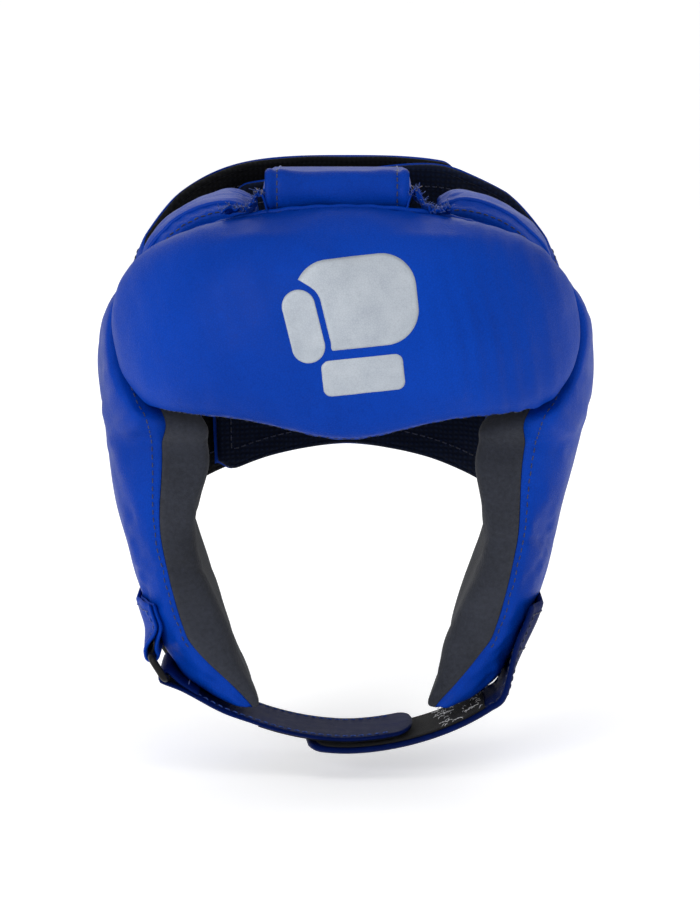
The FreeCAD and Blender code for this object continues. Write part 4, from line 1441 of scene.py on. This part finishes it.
def right_strap():
    """The right tab and the outer chin strap are one long leather band."""
    tab = [(TAB_HIGH[0] - 1.6, TAB_HIGH[2]), (TAB_HIGH[0] - 4.8, TAB_HIGH[2] - 9.0),
           (TAB_HIGH[0] - 10.8, TAB_HIGH[2] - 22.0), (TAB_HIGH[0] - 14.6, TAB_HIGH[2] - 31.0)]
    curve = strap_curve(np.linspace(0.03, 1.25, 14), 1.15).tolist()

    def curl(y, z):
        amount = smooth((z - CHIN_HINGE[2] - 2.0) / 26.0)
        front = smooth((-y - 46.0) / 13.0)
        return -amount * (4.5 * front + 2.0 * smooth((y + 30.0) / 10.0))

    strap, middle = ribbon("chin_strap_outer_band", tab + curve, OUTER_STRAP_THICK,
                           STRAP_FRONT_Y, STRAP_REAR_Y, bend=curl, round_end=7.0)
    finish_piece(strap, "strap_leather", None,
                 ("chin_strap_outer", "jaw_tab_right"))
    made = []
    for side in (1.0, -1.0):
        made += ribbon_stitches(middle, OUTER_STRAP_THICK, (3, -4), slice(4, -7), side)
        made += cross_stitches(middle, OUTER_STRAP_THICK, 4, side)
        made += cross_stitches(middle, OUTER_STRAP_THICK, 19, side)
    threads = join("chin_strap_outer_stitches", made)
    finish_piece(threads, "dark_thread")
    hooks, hook_grid = ribbon("chin_strap_hooks", strap_curve(np.linspace(0.14, 1.21, 13), 2.75),
                              TAPE, STRAP_FRONT_Y + 2.0, STRAP_REAR_Y - 2.0, round_end=6.0)
    finish_piece(hooks, "hook_tape", "outer_chin_strap", ("chin_strap_hook_patch",))
    for piece in (strap, threads):
        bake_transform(piece)
    return hook_grid


def fibres_on(name, grid, count, spans, body):
    """Loose lint caught on hook tape."""
    normal = grid_normals(grid)
    facing = np.sign(normal[:, :, 1:] @ np.array([0.0, 1.0]))[..., None]
    normal = normal * facing
    made = []
    for low, high in spans:
        for _ in range(count):
            i = int(rng.uniform(low, high) * (len(grid) - 1))
            j = int(rng.uniform(0.04, 0.96) * (grid.shape[1] - 1))
            start = grid[i, j] + normal[i, j] * 0.75
            way = rng.normal(0.0, 1.0, 3)
            way -= normal[i, j] * (way @ normal[i, j])
            way /= np.linalg.norm(way)
            bend = rng.normal(0.0, 0.5, 3) - normal[i, j] * 0.1
            length = rng.uniform(1.2, 3.6)
            line = [start + way * s * length + bend * s * (1 - s)
                    + normal[i, j] * 0.35 * math.sin(math.pi * s) for s in np.linspace(0, 1, 6)]
            made.append(tube("lint", line, 0.13, 5))
    finish_piece(join(name, made), "lint", body)


def loop_round(bar, along, start, far, radius):
    """Line that comes up to a ring bar, goes round it and comes back beside itself."""
    bar, along = np.array(bar), np.array(along) / np.linalg.norm(along)
    side = np.array([-along[1], along[0]])
    back = [bar + along * start + side * 0.95, bar + along * 6.5 + side * 1.25]
    arc = [bar + radius * (side * math.cos(a) - along * math.sin(a))
           for a in np.linspace(0.0, math.pi, 7)]
    out = [bar + along * 6.5 - side * 1.25, bar + along * far - side * 0.75]
    return back + arc + out


def left_tab():
    """Tab on the left jaw: two layers that hug the pad and fold round the ring's upper bar."""
    tree = skin_tree("side_left")
    top = TAB_HIGH[2]
    bar_x, bar_z = RING_TOP[0], RING_TOP[2]

    def skin_x(y, z):
        hit = tree.ray_cast(Vector((-300.0, float(y), float(z))), Vector((1.0, 0.0, 0.0)))[0]
        return hit.x if hit else -float(side_x(y, np.array(z), 0.0))

    heights = np.array([0.0, 4.0, 9.0, 0.5 * (bar_z + 9.0 + top) - bar_z, top - bar_z])
    bar_off = skin_x(MID_Y, bar_z) - bar_x

    def leg(near, far):
        offs = mix(near, far, smooth(heights / 11.0))
        return [(skin_x(MID_Y, bar_z + h) - off, bar_z + h) for h, off in zip(heights, offs)]

    inner = leg(bar_off - FOLD_RADIUS, 1.0)
    outer = leg(bar_off + FOLD_RADIUS, 2.9)
    fold = [(bar_x + FOLD_RADIUS * math.cos(a), bar_z - FOLD_RADIUS * math.sin(a))
            for a in np.linspace(0.0, math.pi, 7)[1:-1]]
    line = inner[::-1] + fold + outer

    def curve(y, z):
        share = smooth((z - bar_z - 1.0) / 12.0)
        drop = [[skin_x(b, max(a, bar_z)) - skin_x(MID_Y, max(a, bar_z)) for a, b in zip(*row)]
                for row in zip(z, y)]
        return share * np.clip(np.array(drop), 0.0, 6.0)

    tab, middle = ribbon("jaw_tab_left_folded", line, TAB_LAYER, STRAP_FRONT_Y + 1.0,
                         STRAP_REAR_Y - 1.0, step=0.8, bend=curve)
    finish_piece(tab, "blue_leather", "pads", ("jaw_tab_left",))
    made = []
    for side in (1.0, -1.0):
        made += cross_stitches(middle, TAB_LAYER, -5, side)
        made += ribbon_stitches(middle, TAB_LAYER, (3, -4), slice(-20, -3), side)
    finish_piece(join("jaw_tab_left_stitches", made), "blue_thread", "pads")


def left_strap():
    """Inner chin strap, folded round the ring's lower bar and running under the chin."""
    bar = np.array((RING_BAR[0], RING_BAR[2]))
    rest = strap_curve(np.linspace(0.42, 1.42, 11), 5.8)
    rest[:, 0] *= -1.0
    lead = np.array([rest[0, 0] - 12.6, rest[0, 1] + 4.6])
    along = lead - bar
    loop = loop_round(bar, along, 15.0, 12.0, FOLD_RADIUS)
    line = loop + [lead] + rest.tolist()
    strap, middle = ribbon("chin_strap_inner_band", line, INNER_STRAP_THICK, STRAP_FRONT_Y + 1.0,
                           STRAP_REAR_Y - 1.0, round_end=7.0)
    finish_piece(strap, "strap_leather", "inner_chin_strap",
                 ("chin_strap_inner",))
    made = []
    for side in (1.0, -1.0):
        made += ribbon_stitches(middle, INNER_STRAP_THICK, (3, -4), slice(30, -7), side)
        made += cross_stitches(middle, INNER_STRAP_THICK, 5, side)
    finish_piece(join("chin_strap_inner_stitches", made), "blue_thread",
                 "inner_chin_strap")
    loops = strap_curve(np.linspace(0.46, 1.38, 10), 4.25)
    loops[:, 0] *= -1.0
    tape, _ = ribbon("chin_strap_loops", loops, TAPE, STRAP_FRONT_Y + 4.0, STRAP_REAR_Y - 4.0,
                     round_end=5.0)
    finish_piece(tape, "loop_tape", "inner_chin_strap", ("chin_strap_loop_patch",))


hook_face = right_strap()
fibres_on("chin_strap_lint", hook_face, 60, ((0.02, 0.30),), "outer_chin_strap")
left_tab()
left_strap()

ring = frame["nodes"]["chin_ring"]
if not ring.material_slots:
    ring.data.materials.append(MATERIALS["ring_metal"])
for slot in ring.material_slots:
    slot.material = MATERIALS["ring_metal"]


# ---------------------------------------------------------------- camera, light and floor

def area_light(name, place, aim, size, power):
    data = bpy.data.lights.new(name, "AREA")
    data.shape = "RECTANGLE"
    data.size, data.size_y = size
    data.energy = power
    lamp = bpy.data.objects.new(name, data)
    bpy.context.scene.collection.objects.link(lamp)
    lamp.location = place
    lamp.rotation_euler = (Vector(aim) - Vector(place)).to_track_quat("-Z", "Y").to_euler()
    return lamp


def plain_floor(height):
    mesh = bpy.data.meshes.new("floor")
    half = 60.0
    mesh.from_pydata([(-half, -half, height), (half, -half, height), (half, half, height),
                      (-half, half, height)], [], [(0, 1, 2, 3)])
    floor = bpy.data.objects.new("floor", mesh)
    bpy.context.scene.collection.objects.link(floor)
    n = Nodes("pale_floor")
    n.set(Base_Color=n.ramp(n.noise(3.0), [(0.3, (0.90, 0.90, 0.90)), (0.7, (0.92, 0.92, 0.92))]),
          Roughness=0.85)
    n.shader.inputs["Emission Color"].default_value = (1.0, 1.0, 1.0, 1.0)
    n.shader.inputs["Emission Strength"].default_value = 0.36
    mesh.materials.append(n.mat)


def studio():
    area_light("key_left", (-1.0, -1.5, 0.55), (0.0, 0.0, 0.0), (0.5, 0.7), 13.0)
    area_light("top_soft", (0.1, -0.9, 1.3), (0.0, 0.0, 0.0), (0.7, 0.5), 2.2)
    area_light("right_soft", (1.4, -0.9, 0.4), (0.0, 0.0, 0.0), (0.3, 0.9), 0.7)
    area_light("back_soft", (0.0, 1.6, 1.0), (0.0, 0.0, 0.1), (1.6, 1.0), 5.0)
    world = bpy.data.worlds.new("studio")
    world.use_nodes = True
    world.node_tree.nodes["Background"].inputs["Color"].default_value = (1.0, 1.0, 1.0, 1.0)
    world.node_tree.nodes["Background"].inputs["Strength"].default_value = 0.72
    bpy.context.scene.world = world
    bpy.context.scene.view_settings.view_transform = "Standard"


CAMERA_FOCUS = 3095.0
IMAGE_HEIGHT = 915.0


def camera():
    data = bpy.data.cameras.new("camera")
    data.sensor_width = 36.0
    data.sensor_fit = "VERTICAL"
    data.sensor_height = 36.0
    data.lens = 36.0 * CAMERA_FOCUS / IMAGE_HEIGHT
    seen = bpy.data.objects.new("camera", data)
    bpy.context.scene.collection.objects.link(seen)
    pitch = math.radians(9.0)
    distance = 1.300
    seen.location = (0.0015, -distance * math.cos(pitch), distance * math.sin(pitch) + 0.0002)
    seen.rotation_euler = (math.radians(90.0) - pitch, 0.0, 0.0)
    bpy.context.scene.camera = seen


camera()
studio()
plain_floor(CAD_BOX[0][2] - 0.012)
